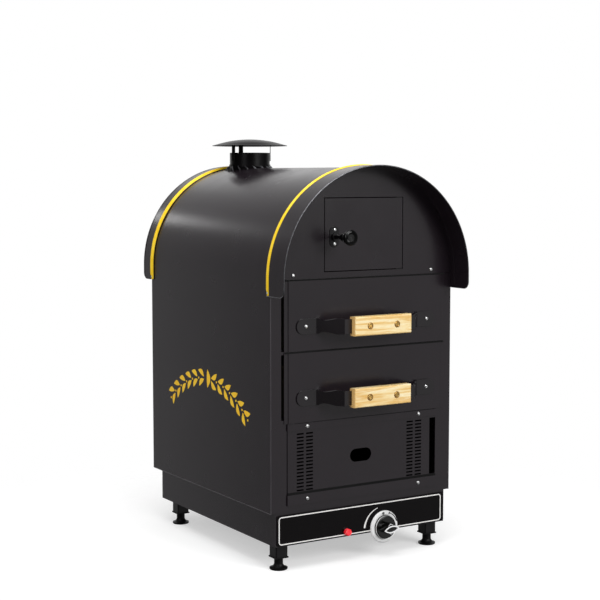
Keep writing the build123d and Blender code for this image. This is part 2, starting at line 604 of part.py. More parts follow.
# ---------------------------------------------------------------- baking drawers
def make_drawer(level):
    """One drawer: its front, box, handle strap, wooden grip and their screws."""
    bottom = FRONT_BOTTOMS[level]
    top = bottom + FRONT_HEIGHT
    handle_z = (bottom + top) / 2 - HANDLE_DROP
    field = LINER_HALF - FRONT_MARGIN
    plate_rear = -RUNNING
    field_front = plate_rear - SHEET - FIELD_STEP

    with BuildPart() as front:
        with BuildSketch(face_plane(plate_rear)):
            span(FRONT_OFFSET - LINER_HALF, FRONT_OFFSET + LINER_HALF, bottom, top)
        extrude(amount=SHEET)
        with BuildSketch(face_plane(plate_rear)):
            span(FRONT_OFFSET - field, FRONT_OFFSET + field, bottom, top)
        extrude(amount=SHEET + FIELD_STEP)
        corners = edges().filter_by(Axis.Z).group_by(Axis.Y)[0]
        fillet(corners, FIELD_STEP * 0.6)
    save(front, f"{level}_drawer_front")

    base = DRAWER_BASES[level] + DRAWER_LIFT + RUNNING
    with BuildPart() as box:
        with BuildSketch(Plane.XY.offset(base)):
            with Locations((0, FRONT_Y + (DRAWER_DEPTH + plate_rear) / 2)):
                Rectangle(2 * DRAWER_HALF, DRAWER_DEPTH - plate_rear)
        extrude(amount=DRAWER_HEIGHT)
        with BuildSketch(Plane.XY.offset(base + LINER_SHEET)):
            with Locations((0, FRONT_Y + (DRAWER_DEPTH + plate_rear) / 2)):
                Rectangle(
                    2 * (DRAWER_HALF - LINER_SHEET), DRAWER_DEPTH - plate_rear - 2 * LINER_SHEET
                )
        extrude(amount=DRAWER_HEIGHT, mode=Mode.SUBTRACT)
        # rolled side rims
        for side in (-1, 1):
            rim = side * (DRAWER_HALF + RIM_WIDTH / 2)
            with BuildSketch(face_plane(DRAWER_DEPTH)):
                with Locations((rim, base + DRAWER_HEIGHT - RIM_HEIGHT / 2)):
                    Rectangle(RIM_WIDTH, RIM_HEIGHT)
            extrude(amount=DRAWER_DEPTH - 2 * SHEET)
        # slotted rack in the bottom
        with BuildSketch(Plane.XY.offset(base)):
            with Locations((0, FRONT_Y + DRAWER_DEPTH / 2)):
                with GridLocations(TRAY_SLOT_PITCH, 1, TRAY_SLOTS, 1):
                    Rectangle(TRAY_SLOT_WIDTH, DRAWER_DEPTH - 2 * TRAY_SLOT_END)
        extrude(amount=2 * LINER_SHEET, mode=Mode.SUBTRACT)
    save(box, f"{level}_drawer_box")

    # strap: flat ears on the front, slanting arms with waved edges, and a straight bar
    ear = EAR_SPACING / 2
    face = field_front
    bar_back = face - BAR_STANDOFF
    with BuildPart() as strap:
        with BuildSketch(Plane.XY.offset(handle_z)):
            with BuildLine():
                right = [
                    (ear + EAR_END, FRONT_Y + face),
                    (ear - EAR_INNER, FRONT_Y + face),
                    (BAR_HALF - STRAP, FRONT_Y + bar_back),
                ]
                left = [(-x, y) for x, y in reversed(right)]
                outer_left = [
                    (-ear - EAR_END, FRONT_Y + face - STRAP),
                    (-ear + EAR_INNER - STRAP, FRONT_Y + face - STRAP),
                    (-BAR_HALF, FRONT_Y + bar_back - STRAP),
                ]
                outer_right = [(-x, y) for x, y in reversed(outer_left)]
                shifted = [(x + FRONT_OFFSET, y) for x, y in right + left + outer_left + outer_right]
                Polyline(*shifted, close=True)
            make_face()
        extrude(amount=EAR_HALF, both=True)
        # front outline: round ears, waved arms, straight bar
        with BuildSketch(face_plane(face)) as outline:
            arm_out = ear - EAR_INNER
            for side in (-1, 1):
                with Locations((FRONT_OFFSET + side * (ear + EAR_END - EAR_HALF), handle_z)):
                    Circle(EAR_HALF)
                with Locations((FRONT_OFFSET + side * (arm_out + ear + EAR_END - EAR_HALF) / 2, handle_z)):
                    Rectangle(ear + EAR_END - EAR_HALF - arm_out, 2 * EAR_HALF)
                with BuildLine():
                    wave = [
                        (arm_out, EAR_HALF), (arm_out - NECK_OUT, NECK_HALF),
                        (arm_out - SHOULDER_OUT, SHOULDER_HALF), (BAR_HALF - STRAP, BAR_HEIGHT / 2),
                    ]
                    upper_edge = [(FRONT_OFFSET + side * x, handle_z + h) for x, h in wave]
                    lower_edge = [(x, 2 * handle_z - z) for x, z in reversed(upper_edge)]
                    Spline(*upper_edge)
                    Line(upper_edge[-1], lower_edge[0])
                    Spline(*lower_edge)
                    Line(lower_edge[-1], upper_edge[0])
                make_face()
            span(
                FRONT_OFFSET - BAR_HALF + STRAP / 2, FRONT_OFFSET + BAR_HALF - STRAP / 2,
                handle_z - BAR_HEIGHT / 2, handle_z + BAR_HEIGHT / 2,
            )
        extrude(amount=2 * BAR_STANDOFF, mode=Mode.INTERSECT)
    save(strap, f"{level}_handle_strap")

    bar_front = bar_back - STRAP
    with BuildPart() as grip:
        with BuildSketch(face_plane(bar_back + GRIP_BACK)):
            with Locations((FRONT_OFFSET, handle_z)):
                Rectangle(GRIP_LENGTH, GRIP_HEIGHT)
        extrude(amount=GRIP_BACK + STRAP + GRIP_FRONT)
        front_edges = faces().sort_by(Axis.Y)[0].edges()
        long_edges = edges().filter_by(Axis.X)
        fillet(front_edges + long_edges.group_by(Axis.Y)[-1], GRIP_ROUND)
        with BuildSketch(face_plane(bar_back)):
            with Locations((FRONT_OFFSET, handle_z)):
                Rectangle(2 * GRIP_LENGTH, BAR_HEIGHT)
        extrude(amount=STRAP, mode=Mode.SUBTRACT)
        with BuildSketch(face_plane(bar_back)):
            with Locations((FRONT_OFFSET, handle_z)):
                with GridLocations(GRIP_SCREW_SPACING, 1, 2, 1):
                    Circle(GRIP_SCREW_RADIUS)
        extrude(amount=STRAP + GRIP_FRONT, mode=Mode.SUBTRACT)
    save(grip, f"{level}_handle_grip")

    with BuildPart() as grip_screws:
        with BuildSketch(face_plane(bar_front)):
            with Locations((FRONT_OFFSET, handle_z)):
                with GridLocations(GRIP_SCREW_SPACING, 1, 2, 1):
                    Circle(GRIP_SCREW_RADIUS)
        extrude(amount=GRIP_FRONT)
        with BuildSketch(face_plane(bar_front - GRIP_FRONT)):
            with Locations((FRONT_OFFSET, handle_z)):
                with GridLocations(GRIP_SCREW_SPACING, 1, 2, 1):
                    Circle(GRIP_SCREW_HEAD)
        extrude(amount=SCREW_RISE, taper=HEAD_TAPER)
    save(grip_screws, f"{level}_grip_screws")

    with BuildPart() as ear_screws:
        with BuildSketch(face_plane(face - STRAP)):
            with Locations((FRONT_OFFSET, handle_z)):
                with GridLocations(EAR_SPACING, 1, 2, 1):
                    Circle(SCREW_HEAD)
        extrude(amount=SCREW_RISE, taper=HEAD_TAPER)
    save(ear_screws, f"{level}_ear_screws")


for drawer_level in DRAWER_BASES:
    make_drawer(drawer_level)

# ---------------------------------------------------------------- arched door and latch
PIVOT_X = DOOR_HALF - PIVOT_INSET

with BuildPart() as door_pan:
    with BuildSketch(face_plane(DOOR_DEPTH)):
        span(-DOOR_HALF, DOOR_HALF, DOOR_BOTTOM, DOOR_TOP)
    extrude(amount=DOOR_DEPTH)
    with BuildSketch(face_plane(DOOR_DEPTH)):
        span(-DOOR_HALF + SHEET, DOOR_HALF - SHEET, DOOR_BOTTOM + SHEET, DOOR_TOP - SHEET)
    extrude(amount=DOOR_DEPTH - SHEET, mode=Mode.SUBTRACT)
    with BuildSketch(Plane.XY.offset(DOOR_BOTTOM - SHEET)):
        with Locations((PIVOT_X, FRONT_Y + PIVOT_INSET)):
            Circle(PIVOT_RADIUS + PIN_CLEARANCE)
    extrude(amount=DOOR_TOP - DOOR_BOTTOM + 2 * SHEET, mode=Mode.SUBTRACT)
    with BuildSketch(face_plane(DOOR_DEPTH)):
        with Locations((LATCH_X, LATCH_Z)):
            Circle(SPINDLE_RADIUS + PIN_CLEARANCE)
    extrude(amount=DOOR_DEPTH, mode=Mode.SUBTRACT)
save(door_pan, "door_pan")

with BuildPart() as door_liner:
    with BuildSketch(face_plane(DOOR_DEPTH + LINER_SHEET)):
        span(-DOOR_HALF, DOOR_HALF, DOOR_BOTTOM, DOOR_TOP)
    extrude(amount=LINER_SHEET)
    # bushes for the pivot pins, inside the pan's corners
    for bush_z in (DOOR_BOTTOM + SHEET, DOOR_TOP - SHEET - BUSH_HEIGHT):
        with BuildSketch(Plane.XY.offset(bush_z)):
            with Locations((PIVOT_X - PIVOT_INSET / 2, FRONT_Y + (SHEET + DOOR_DEPTH) / 2)):
                Rectangle(2 * PIVOT_INSET + PIVOT_RADIUS - SHEET, DOOR_DEPTH - SHEET)
        extrude(amount=BUSH_HEIGHT)
    with BuildSketch(Plane.XY.offset(DOOR_BOTTOM)):
        with Locations((PIVOT_X, FRONT_Y + PIVOT_INSET)):
            Circle(PIVOT_RADIUS + PIN_CLEARANCE)
    extrude(amount=DOOR_TOP - DOOR_BOTTOM, mode=Mode.SUBTRACT)
    with BuildSketch(face_plane(DOOR_DEPTH + LINER_SHEET)):
        with Locations((LATCH_X, LATCH_Z)):
            Circle(SPINDLE_RADIUS + PIN_CLEARANCE)
    extrude(amount=2 * LINER_SHEET, mode=Mode.SUBTRACT)
save(door_liner, "door_liner")

with BuildPart() as door_pivots:
    for bracket_z, reach in (
        (DOOR_BOTTOM - RUNNING - SHEET, BUSH_HEIGHT),
        (DOOR_TOP + RUNNING, -BUSH_HEIGHT),
    ):
        with BuildSketch(Plane.XY.offset(bracket_z)):
            with Locations((PIVOT_X + PIVOT_INSET, FRONT_Y + (SHEET + DOOR_DEPTH) / 2)):
                Rectangle(PIVOT_BRACKET, DOOR_DEPTH - SHEET)
        extrude(amount=SHEET)
        with BuildSketch(Plane.XY.offset(bracket_z + (SHEET if reach > 0 else 0))):
            with Locations((PIVOT_X, FRONT_Y + PIVOT_INSET)):
                Circle(PIVOT_RADIUS)
        extrude(amount=reach)
save(door_pivots, "door_pivots")

with BuildPart() as latch_plate:
    with BuildSketch(face_plane(0)):
        with Locations((LATCH_X, LATCH_Z)):
            SlotOverall(LATCH_PLATE_HEIGHT, LATCH_PLATE_WIDTH, rotation=90)
            Circle(SPINDLE_RADIUS + PIN_CLEARANCE, mode=Mode.SUBTRACT)
    extrude(amount=SHEET)
save(latch_plate, "latch_plate")

with BuildPart() as latch_screws:
    with BuildSketch(face_plane(-SHEET)):
        with Locations((LATCH_X, LATCH_Z)):
            with GridLocations(1, LATCH_SCREW_SPACING, 1, 2):
                Circle(SCREW_HEAD)
    extrude(amount=SCREW_RISE, taper=HEAD_TAPER)
save(latch_screws, "latch_screws")

TONGUE_FRONT = DOOR_DEPTH + LINER_SHEET + RUNNING + SHEET + RUNNING
with BuildPart() as latch_spindle:
    with BuildSketch(face_plane(TONGUE_FRONT)):
        with Locations((LATCH_X, LATCH_Z)):
            Circle(SPINDLE_RADIUS)
    extrude(amount=TONGUE_FRONT + KNOB_REACH - KNOB_LENGTH + KNOB_SOCKET)
    # shoulder in front of the plate
    with BuildSketch(face_plane(-SHEET - RUNNING)):
        with Locations((LATCH_X, LATCH_Z)):
            Circle(SPINDLE_RADIUS + SPINDLE_SHOULDER)
    extrude(amount=SHOULDER_LENGTH)
    # locking tongue, upright while the door is free
    with BuildSketch(face_plane(TONGUE_FRONT + TONGUE_SHEET)):
        with Locations((LATCH_X, LATCH_Z + TONGUE_LENGTH / 2 - TONGUE_WIDTH / 4)):
            SlotOverall(TONGUE_LENGTH + TONGUE_WIDTH / 2, TONGUE_WIDTH, rotation=90)
    extrude(amount=TONGUE_SHEET)
save(latch_spindle, "latch_spindle")

with BuildPart() as latch_knob:
    # turned profile: narrow neck, flared body, dished face
    knob_rear = FRONT_Y - KNOB_REACH + KNOB_LENGTH
    knob_front = FRONT_Y - KNOB_REACH
    knob_neck = LATCH_X + SPINDLE_RADIUS + KNOB_NECK
    knob_rim = LATCH_X + KNOB_RADIUS
    round_mid = KNOB_ROUND * (1 - math.sqrt(0.5))
    with BuildSketch(Plane.XY.offset(LATCH_Z)):
        with BuildLine():
            Polyline(
                (LATCH_X, knob_front + KNOB_DISH_CENTRE), (LATCH_X, knob_rear), (knob_neck, knob_rear),
                (knob_neck, knob_rear - KNOB_NECK_LENGTH),
            )
            ThreePointArc(
                (knob_neck, knob_rear - KNOB_NECK_LENGTH),
                (knob_rim - KNOB_WAIST_IN, knob_front + KNOB_WAIST_BACK),
                (knob_rim, knob_front + KNOB_ROUND),
            )
            ThreePointArc(
                (knob_rim, knob_front + KNOB_ROUND),
                (knob_rim - round_mid, knob_front + round_mid),
                (knob_rim - KNOB_FACE_IN, knob_front),
            )
            Polyline(
                (knob_rim - KNOB_FACE_IN, knob_front), (LATCH_X + KNOB_DISH_RADIUS, knob_front + KNOB_DISH),
                (LATCH_X, knob_front + KNOB_DISH_CENTRE),
            )
        make_face()
    revolve(axis=Axis((LATCH_X, FRONT_Y, LATCH_Z), (0, 1, 0)))
    with BuildSketch(face_plane(-KNOB_REACH + KNOB_LENGTH)):
        with Locations((LATCH_X, LATCH_Z)):
            Circle(SPINDLE_RADIUS)
    extrude(amount=KNOB_SOCKET, mode=Mode.SUBTRACT)
save(latch_knob, "latch_knob")

# ---------------------------------------------------------------- vent cover and rails
COVER_REAR = -RUNNING
RAIL_REAR = COVER_REAR - SHEET - RUNNING
COVER_BOTTOM = LOWER_RAIL[0] + RAIL_FOOT_BOTTOM + RUNNING
COVER_TOP = UPPER_RAIL[1] - RAIL_FOOT_TOP - RUNNING
COVER_LEFT = COVER_END_GAP - VENT_HALF
COVER_X = COVER_LEFT + COVER_WIDTH / 2
SLOT_FIELD = UPPER_RAIL[0] - LOWER_RAIL[1] - 2 * SLOT_END_MARGIN
SLOT_ROWS = 1 + int((SLOT_FIELD - SLOT_HEIGHT) / SLOT_PITCH)

with BuildPart() as vent_rails:
    for low, high, foot_low, foot_high in (
        (*LOWER_RAIL, LOWER_RAIL[0], LOWER_RAIL[0] + RAIL_FOOT_BOTTOM),
        (*UPPER_RAIL, UPPER_RAIL[1] - RAIL_FOOT_TOP, UPPER_RAIL[1]),
    ):
        with BuildSketch(face_plane(RAIL_REAR)):
            span(-VENT_HALF, VENT_HALF, low, high)
        extrude(amount=SHEET)
        with BuildSketch(face_plane(0)):
            span(-VENT_HALF, VENT_HALF, foot_low, foot_high)
        extrude(amount=-RAIL_REAR)
save(vent_rails, "vent_rails")

with BuildPart() as vent_cover:
    with BuildSketch(face_plane(COVER_REAR)):
        span(COVER_LEFT, COVER_LEFT + COVER_WIDTH, COVER_BOTTOM, COVER_TOP)
        with Locations((COVER_X, (LOWER_RAIL[1] + UPPER_RAIL[0]) / 2)):
            SlotOverall(FINGER_HOLE_WIDTH, FINGER_HOLE_HEIGHT, mode=Mode.SUBTRACT)
            with Locations((-SLOT_GROUP, 0), (SLOT_GROUP, 0)):
                with GridLocations(SLOT_COLUMN_PITCH, SLOT_PITCH, 2, SLOT_ROWS):
                    Rectangle(SLOT_WIDTH, SLOT_HEIGHT, mode=Mode.SUBTRACT)
    extrude(amount=SHEET)
save(vent_cover, "vent_cover")

# ---------------------------------------------------------------- plinth and base frame
with BuildPart() as plinth_box:
    # front and rear sheets with the side sheets between them
    with BuildSketch(Plane.XY.offset(PLINTH_BOTTOM)):
        with Locations((0, FRONT_Y + (PLINTH_SETBACK + PLINTH_REAR) / 2)):
            with GridLocations(1, PLINTH_REAR - PLINTH_SETBACK - SHEET, 1, 2):
                Rectangle(2 * PLINTH_HALF, SHEET)
            with GridLocations(2 * PLINTH_HALF - SHEET, 1, 2, 1):
                Rectangle(SHEET, PLINTH_REAR - PLINTH_SETBACK - 2 * (SHEET + FIT))
    extrude(amount=PLINTH_HEIGHT)
    with BuildSketch(face_plane(PLINTH_SETBACK + SHEET)):
        with Locations((DIAL_X, DIAL_Z)):
            Circle(DIAL_SHAFT_RADIUS + HOLE_CLEARANCE)
        with Locations((LAMP_X, LAMP_Z)):
            Circle(LAMP_RADIUS - HOLE_CLEARANCE)
    extrude(amount=2 * SHEET, mode=Mode.SUBTRACT)
    with BuildSketch(face_plane(PLINTH_REAR)):
        with Locations((GLAND_X, GLAND_Z)):
            Circle(GLAND_BODY)
    extrude(amount=2 * SHEET, mode=Mode.SUBTRACT)
save(plinth_box, "plinth_box")

with BuildPart() as cable_gland:
    with BuildSketch(face_plane(PLINTH_REAR)):
        with Locations((GLAND_X, GLAND_Z)):
            RegularPolygon(GLAND_HEX, 6)
    extrude(amount=-GLAND_HEX_LENGTH)
    with BuildSketch(face_plane(PLINTH_REAR + GLAND_REACH)):
        with Locations((GLAND_X, GLAND_Z)):
            Circle(GLAND_DOME)
    extrude(amount=GLAND_REACH - GLAND_HEX_LENGTH)
    fillet(faces().sort_by(Axis.Y)[-1].edges(), (GLAND_DOME - GLAND_BORE) / 2)
    with BuildSketch(face_plane(PLINTH_REAR)):
        with Locations((GLAND_X, GLAND_Z)):
            Circle(GLAND_BODY)
    extrude(amount=GLAND_TAIL)
    with BuildSketch(face_plane(PLINTH_REAR + GLAND_REACH)):
        with Locations((GLAND_X, GLAND_Z)):
            Circle(GLAND_BORE)
    extrude(amount=GLAND_REACH + GLAND_TAIL, mode=Mode.SUBTRACT)
save(cable_gland, "cable_gland")

with BuildPart() as base_frame:
    # two side tubes with two cross tubes between them
    front_depth, rear_depth = LEG_DEPTHS["front"], LEG_DEPTHS["rear"]
    with BuildSketch(face_plane(rear_depth + TUBE / 2)):
        for side in (-1, 1):
            with Locations((side * LEG_X, LEG_TOP + TUBE / 2)):
                RectangleRounded(TUBE, TUBE, TUBE_ROUND)
                Rectangle(TUBE - 2 * TUBE_WALL, TUBE - 2 * TUBE_WALL, mode=Mode.SUBTRACT)
    extrude(amount=rear_depth - front_depth + TUBE)
    with BuildSketch(Plane.YZ.offset(TUBE / 2 + FIT - LEG_X)):
        for depth in (front_depth, rear_depth):
            with Locations((FRONT_Y + depth, LEG_TOP + TUBE / 2)):
                RectangleRounded(TUBE, TUBE, TUBE_ROUND)
                Rectangle(TUBE - 2 * TUBE_WALL, TUBE - 2 * TUBE_WALL, mode=Mode.SUBTRACT)
    extrude(amount=2 * LEG_X - TUBE - 2 * FIT)
save(base_frame, "base_frame")

for row, depth in LEG_DEPTHS.items():
    for side, sign in (("left", -1), ("right", 1)):
        centre = (sign * LEG_X, FRONT_Y + depth)
        with BuildPart() as leg:
            with BuildSketch(Plane.XY.offset(LEG_BOTTOM)):
                with Locations(centre):
                    RectangleRounded(TUBE, TUBE, TUBE_ROUND)
                    Rectangle(TUBE - 2 * TUBE_WALL, TUBE - 2 * TUBE_WALL, mode=Mode.SUBTRACT)
            extrude(amount=LEG_TOP - LEG_BOTTOM)
        save(leg, f"leg_{row}_{side}")

        with BuildPart() as foot:
            with BuildSketch(Plane.XZ.offset(-centre[1])):
                with BuildLine():
                    disc = centre[0] + FOOT_RADIUS
                    neck = centre[0] + FOOT_NECK_RADIUS
                    stem = centre[0] + FOOT_STEM_RADIUS
                    neck_top = LEG_BOTTOM - INSERT_COLLAR - RUNNING
                    stem_top = LEG_BOTTOM + INSERT_PLUG - FOOT_STEM_GAP
                    Polyline(
                        (centre[0], 0), (disc - FOOT_EDGE, 0), (disc, FOOT_EDGE), (disc, FOOT_DISC)
                    )
                    ThreePointArc(
                        (disc, FOOT_DISC), (neck + FOOT_FLARE_OUT, FOOT_DISC + FOOT_FLARE_RISE),
                        (neck, FOOT_FLARE_TOP),
                    )
                    Polyline(
                        (neck, FOOT_FLARE_TOP), (neck, neck_top), (stem, neck_top),
                        (stem, stem_top), (centre[0], stem_top), (centre[0], 0),
                    )
                make_face()
            revolve(axis=Axis((centre[0], centre[1], 0), (0, 0, 1)))
        save(foot, f"foot_{row}_{side}")

with BuildPart() as leg_inserts:
    plug = TUBE - 2 * TUBE_WALL
    for depth in LEG_DEPTHS.values():
        for sign in (-1, 1):
            with Locations((sign * LEG_X, FRONT_Y + depth, LEG_BOTTOM)):
                Box(
                    TUBE + 2 * INSERT_EDGE, TUBE + 2 * INSERT_EDGE, INSERT_COLLAR,
                    align=(Align.CENTER, Align.CENTER, Align.MAX),
                )
                Box(plug, plug, INSERT_PLUG, align=(Align.CENTER, Align.CENTER, Align.MIN))
                Cylinder(
                    FOOT_STEM_RADIUS + PIN_CLEARANCE, 3 * INSERT_PLUG, mode=Mode.SUBTRACT
                )
save(leg_inserts, "leg_inserts")

# ---------------------------------------------------------------- controls
PANEL_FRONT = PLINTH_SETBACK - SHEET
TIP_DEPTH = PANEL_FRONT - DIAL_REACH + SHEET


GRIP_MIDDLE = Vector(DIAL_X, DIAL_Z)


def half_spans(length, width):
    """Half the length and half the width of the tilted grip, as vectors on the front."""
    return Vector(length / 2, 0).rotate(Axis.Z, GRIP_TILT), Vector(0, width / 2).rotate(Axis.Z, GRIP_TILT)


def lens(length, width, depth):
    """Pointed oval round the dial's axis, at a depth."""
    with BuildSketch(face_plane(depth)) as face:
        with BuildLine():
            along, across = half_spans(length, width)
            ThreePointArc(GRIP_MIDDLE - along, GRIP_MIDDLE + across, GRIP_MIDDLE + along)
            ThreePointArc(GRIP_MIDDLE + along, GRIP_MIDDLE - across, GRIP_MIDDLE - along)
        make_face()
    return face.sketch


with BuildPart() as control_panel:
    with BuildSketch(face_plane(PLINTH_SETBACK)):
        with Locations((0, PLINTH_BOTTOM + SHEET + PANEL_HEIGHT / 2)):
            RectangleRounded(2 * (PLINTH_HALF - PANEL_INSET), PANEL_HEIGHT, PANEL_CORNER)
        with Locations((DIAL_X, DIAL_Z)):
            Circle(DIAL_SHAFT_RADIUS + HOLE_CLEARANCE, mode=Mode.SUBTRACT)
        with Locations((LAMP_X, LAMP_Z)):
            Circle(LAMP_RADIUS - HOLE_CLEARANCE, mode=Mode.SUBTRACT)
    extrude(amount=SHEET)
save(control_panel, "control_panel")

with BuildPart() as pilot_lamp:
    with BuildSketch(face_plane(PANEL_FRONT)):
        with Locations((LAMP_X, LAMP_Z)):
            RegularPolygon(LAMP_RADIUS, 8, major_radius=False)
    extrude(amount=LAMP_REACH - LAMP_BEVEL)
    with BuildSketch(face_plane(PANEL_FRONT - LAMP_REACH + LAMP_BEVEL)):
        with Locations((LAMP_X, LAMP_Z)):
            RegularPolygon(LAMP_RADIUS, 8, major_radius=False)
    extrude(amount=LAMP_BEVEL, taper=35)
    with BuildSketch(face_plane(PLINTH_SETBACK + LAMP_TAIL)):
        with Locations((LAMP_X, LAMP_Z)):
            Circle(LAMP_RADIUS - HOLE_CLEARANCE - FIT)
    extrude(amount=LAMP_TAIL + SHEET)
save(pilot_lamp, "pilot_lamp")

with BuildPart() as thermostat_body:
    with BuildSketch(face_plane(PLINTH_SETBACK + SHEET + THERMOSTAT_LENGTH)):
        with Locations((DIAL_X, DIAL_Z + THERMOSTAT_LIFT)):
            RectangleRounded(THERMOSTAT_WIDTH, THERMOSTAT_HEIGHT, 2 * SHEET)
    extrude(amount=THERMOSTAT_LENGTH)
    with BuildSketch(face_plane(PLINTH_SETBACK + SHEET + DIAL_SHAFT_TAIL + SHEET)):
        with Locations((DIAL_X, DIAL_Z)):
            Circle(DIAL_SHAFT_RADIUS + PIN_CLEARANCE)
    extrude(amount=THERMOSTAT_LENGTH, mode=Mode.SUBTRACT)
save(thermostat_body, "thermostat_body")

with BuildPart() as dial_bezel:
    with BuildSketch(Plane.XY.offset(DIAL_Z)):
        with BuildLine():
            bezel_rear = FRONT_Y + PANEL_FRONT
            bezel_front = bezel_rear - BEZEL_HEIGHT
            bezel_bore = DIAL_X + DIAL_SHAFT_RADIUS + HOLE_CLEARANCE
            bezel_rim = DIAL_X + BEZEL_RADIUS
            bezel_band = bezel_rim - BEZEL_BAND
            Polyline(
                (bezel_bore, bezel_rear), (bezel_rim - BEZEL_EDGE, bezel_rear),
                (bezel_rim, bezel_rear - BEZEL_EDGE), (bezel_rim, bezel_front + BEZEL_SHOULDER),
                (bezel_rim - BEZEL_SHOULDER, bezel_front + BEZEL_EDGE / 2),
                (bezel_band + BEZEL_SHOULDER, bezel_front), (bezel_band, bezel_front + BEZEL_EDGE),
                (bezel_band, bezel_rear - SHEET), (bezel_bore, bezel_rear - SHEET),
                close=True,
            )
        make_face()
    revolve(axis=Axis((DIAL_X, FRONT_Y, DIAL_Z), (0, 1, 0)))
save(dial_bezel, "dial_bezel")

DIAL_REAR = PANEL_FRONT - SHEET - SKIRT_LIFT
with BuildPart() as dial_knob:
    with BuildSketch(face_plane(DIAL_REAR)):
        with Locations((DIAL_X, DIAL_Z)):
            Circle(KNOB_SKIRT_RADIUS)
    extrude(amount=BEZEL_HEIGHT + SKIRT_PROUD)
    fillet(faces().sort_by(Axis.Y)[0].edges(), SKIRT_ROUND)
    # grip: a lens-shaped bar that narrows towards its front
    grip_root = lens(GRIP_ROOT_LENGTH, GRIP_ROOT_WIDTH, DIAL_REAR - BEZEL_HEIGHT)
    grip_tip = lens(GRIP_LENS_LENGTH, GRIP_LENS_WIDTH, TIP_DEPTH)
    loft([grip_root.face(), grip_tip.face()])
    # thumb ridges along the middle of the grip, above and below
    with BuildSketch(face_plane(TIP_DEPTH + GRIP_RIDGE_BACK)):
        with BuildLine():
            along, across = half_spans(GRIP_LENS_LENGTH, GRIP_RIDGE_WIDTH)
            Polyline(
                GRIP_MIDDLE - along, GRIP_MIDDLE + across, GRIP_MIDDLE + along, GRIP_MIDDLE - across,
                close=True,
            )
        make_face()
    extrude(amount=TIP_DEPTH + GRIP_RIDGE_BACK + BEZEL_HEIGHT)
    with BuildSketch(face_plane(PLINTH_SETBACK + SHEET + DIAL_SHAFT_TAIL)):
        with Locations((DIAL_X, DIAL_Z)):
            Circle(DIAL_SHAFT_RADIUS)
    extrude(amount=PLINTH_SETBACK + SHEET + DIAL_SHAFT_TAIL - DIAL_REAR)
save(dial_knob, "dial_knob")

with BuildPart() as dial_trim:
    outline = lens(GRIP_LENS_LENGTH, GRIP_LENS_WIDTH, TIP_DEPTH)
    extrude(outline, amount=SHEET)
    extrude(offset(outline, amount=-DIAL_TRIM_WIDTH, mode=Mode.PRIVATE), amount=SHEET, mode=Mode.SUBTRACT)
save(dial_trim, "dial_trim")

# ---------------------------------------------------------------- visors and trim strips
FLANGE_IN = CASE_RADIUS + FIT
FLANGE_OUT = FLANGE_IN + SHEET
VISOR_OUT = CASE_RADIUS + VISOR_RISE
VISOR_FOOT = ARCH_HEIGHT - VISOR_LEG


def make_visor(edge, reach, facing):
    """Visor on one end of the case: flange on the sheet, web, band and rolled hem."""
    tip = edge + facing * reach
    web = edge + facing * SHEET
    with BuildPart() as visor:
        band_front, band_rear = min(edge, tip), max(edge, tip)
        band_out = VISOR_OUT - BAND_INSET
        arch_band(band_out, band_out - SHEET, VISOR_FOOT, band_front, band_rear)
        hem_start = tip - facing * HEM_WIDTH
        hem_front, hem_rear = min(hem_start, tip), max(hem_start, tip)
        extrude(arch(VISOR_OUT, VISOR_FOOT, hem_rear), amount=hem_rear - hem_front)
        extrude(
            arch(VISOR_OUT - HEM_THICKNESS, VISOR_FOOT, hem_rear),
            amount=hem_rear - hem_front,
            mode=Mode.SUBTRACT,
        )
        # round the lower corner of both ends
        with BuildSketch(Plane.YZ.offset(-VISOR_OUT - SHEET)):
            with BuildLine():
                y_tip, y_in = FRONT_Y + tip, FRONT_Y + tip - facing * VISOR_CORNER
                y_far = FRONT_Y + tip + facing * SHEET
                corner_mid = VISOR_CORNER * (1 - math.sqrt(0.5))
                Polyline(
                    (y_tip, VISOR_FOOT + VISOR_CORNER), (y_far, VISOR_FOOT + VISOR_CORNER),
                    (y_far, VISOR_FOOT - SHEET), (y_in, VISOR_FOOT - SHEET), (y_in, VISOR_FOOT),
                )
                ThreePointArc(
                    (y_in, VISOR_FOOT),
                    (y_tip - facing * corner_mid, VISOR_FOOT + corner_mid),
                    (y_tip, VISOR_FOOT + VISOR_CORNER),
                )
            make_face()
        extrude(amount=2 * (VISOR_OUT + SHEET), mode=Mode.SUBTRACT)
    with BuildPart() as seat:
        web_front, web_rear = min(edge, web), max(edge, web)
        arch_band(band_out, FLANGE_IN, VISOR_FOOT, web_front, web_rear)
        lap = edge - facing * (STRIP_WIDTH + FLANGE_LAP)
        arch_band(FLANGE_OUT, FLANGE_IN, VISOR_FOOT, min(edge, lap), max(edge, lap))
    with BuildPart() as whole:
        add(visor.part)
        add(seat.part)
    return whole


front_visor = make_visor(0, VISOR_FRONT, -1)
save(front_visor, "front_visor")
rear_visor = make_visor(CASE_DEPTH, VISOR_REAR, 1)
save(rear_visor, "rear_visor")


def half_round(side, y_mid, height):
    """Strip's profile on one side of the case, at a height above the ground."""
    foot, crown = side * FLANGE_OUT, side * (FLANGE_OUT + STRIP_HEIGHT)
    with BuildSketch(Plane.XY.offset(height)) as profile:
        with BuildLine():
            Line((foot, y_mid - STRIP_WIDTH / 2), (foot, y_mid + STRIP_WIDTH / 2))
            ThreePointArc((foot, y_mid + STRIP_WIDTH / 2), (crown, y_mid), (foot, y_mid - STRIP_WIDTH / 2))
        make_face()
    return profile.sketch


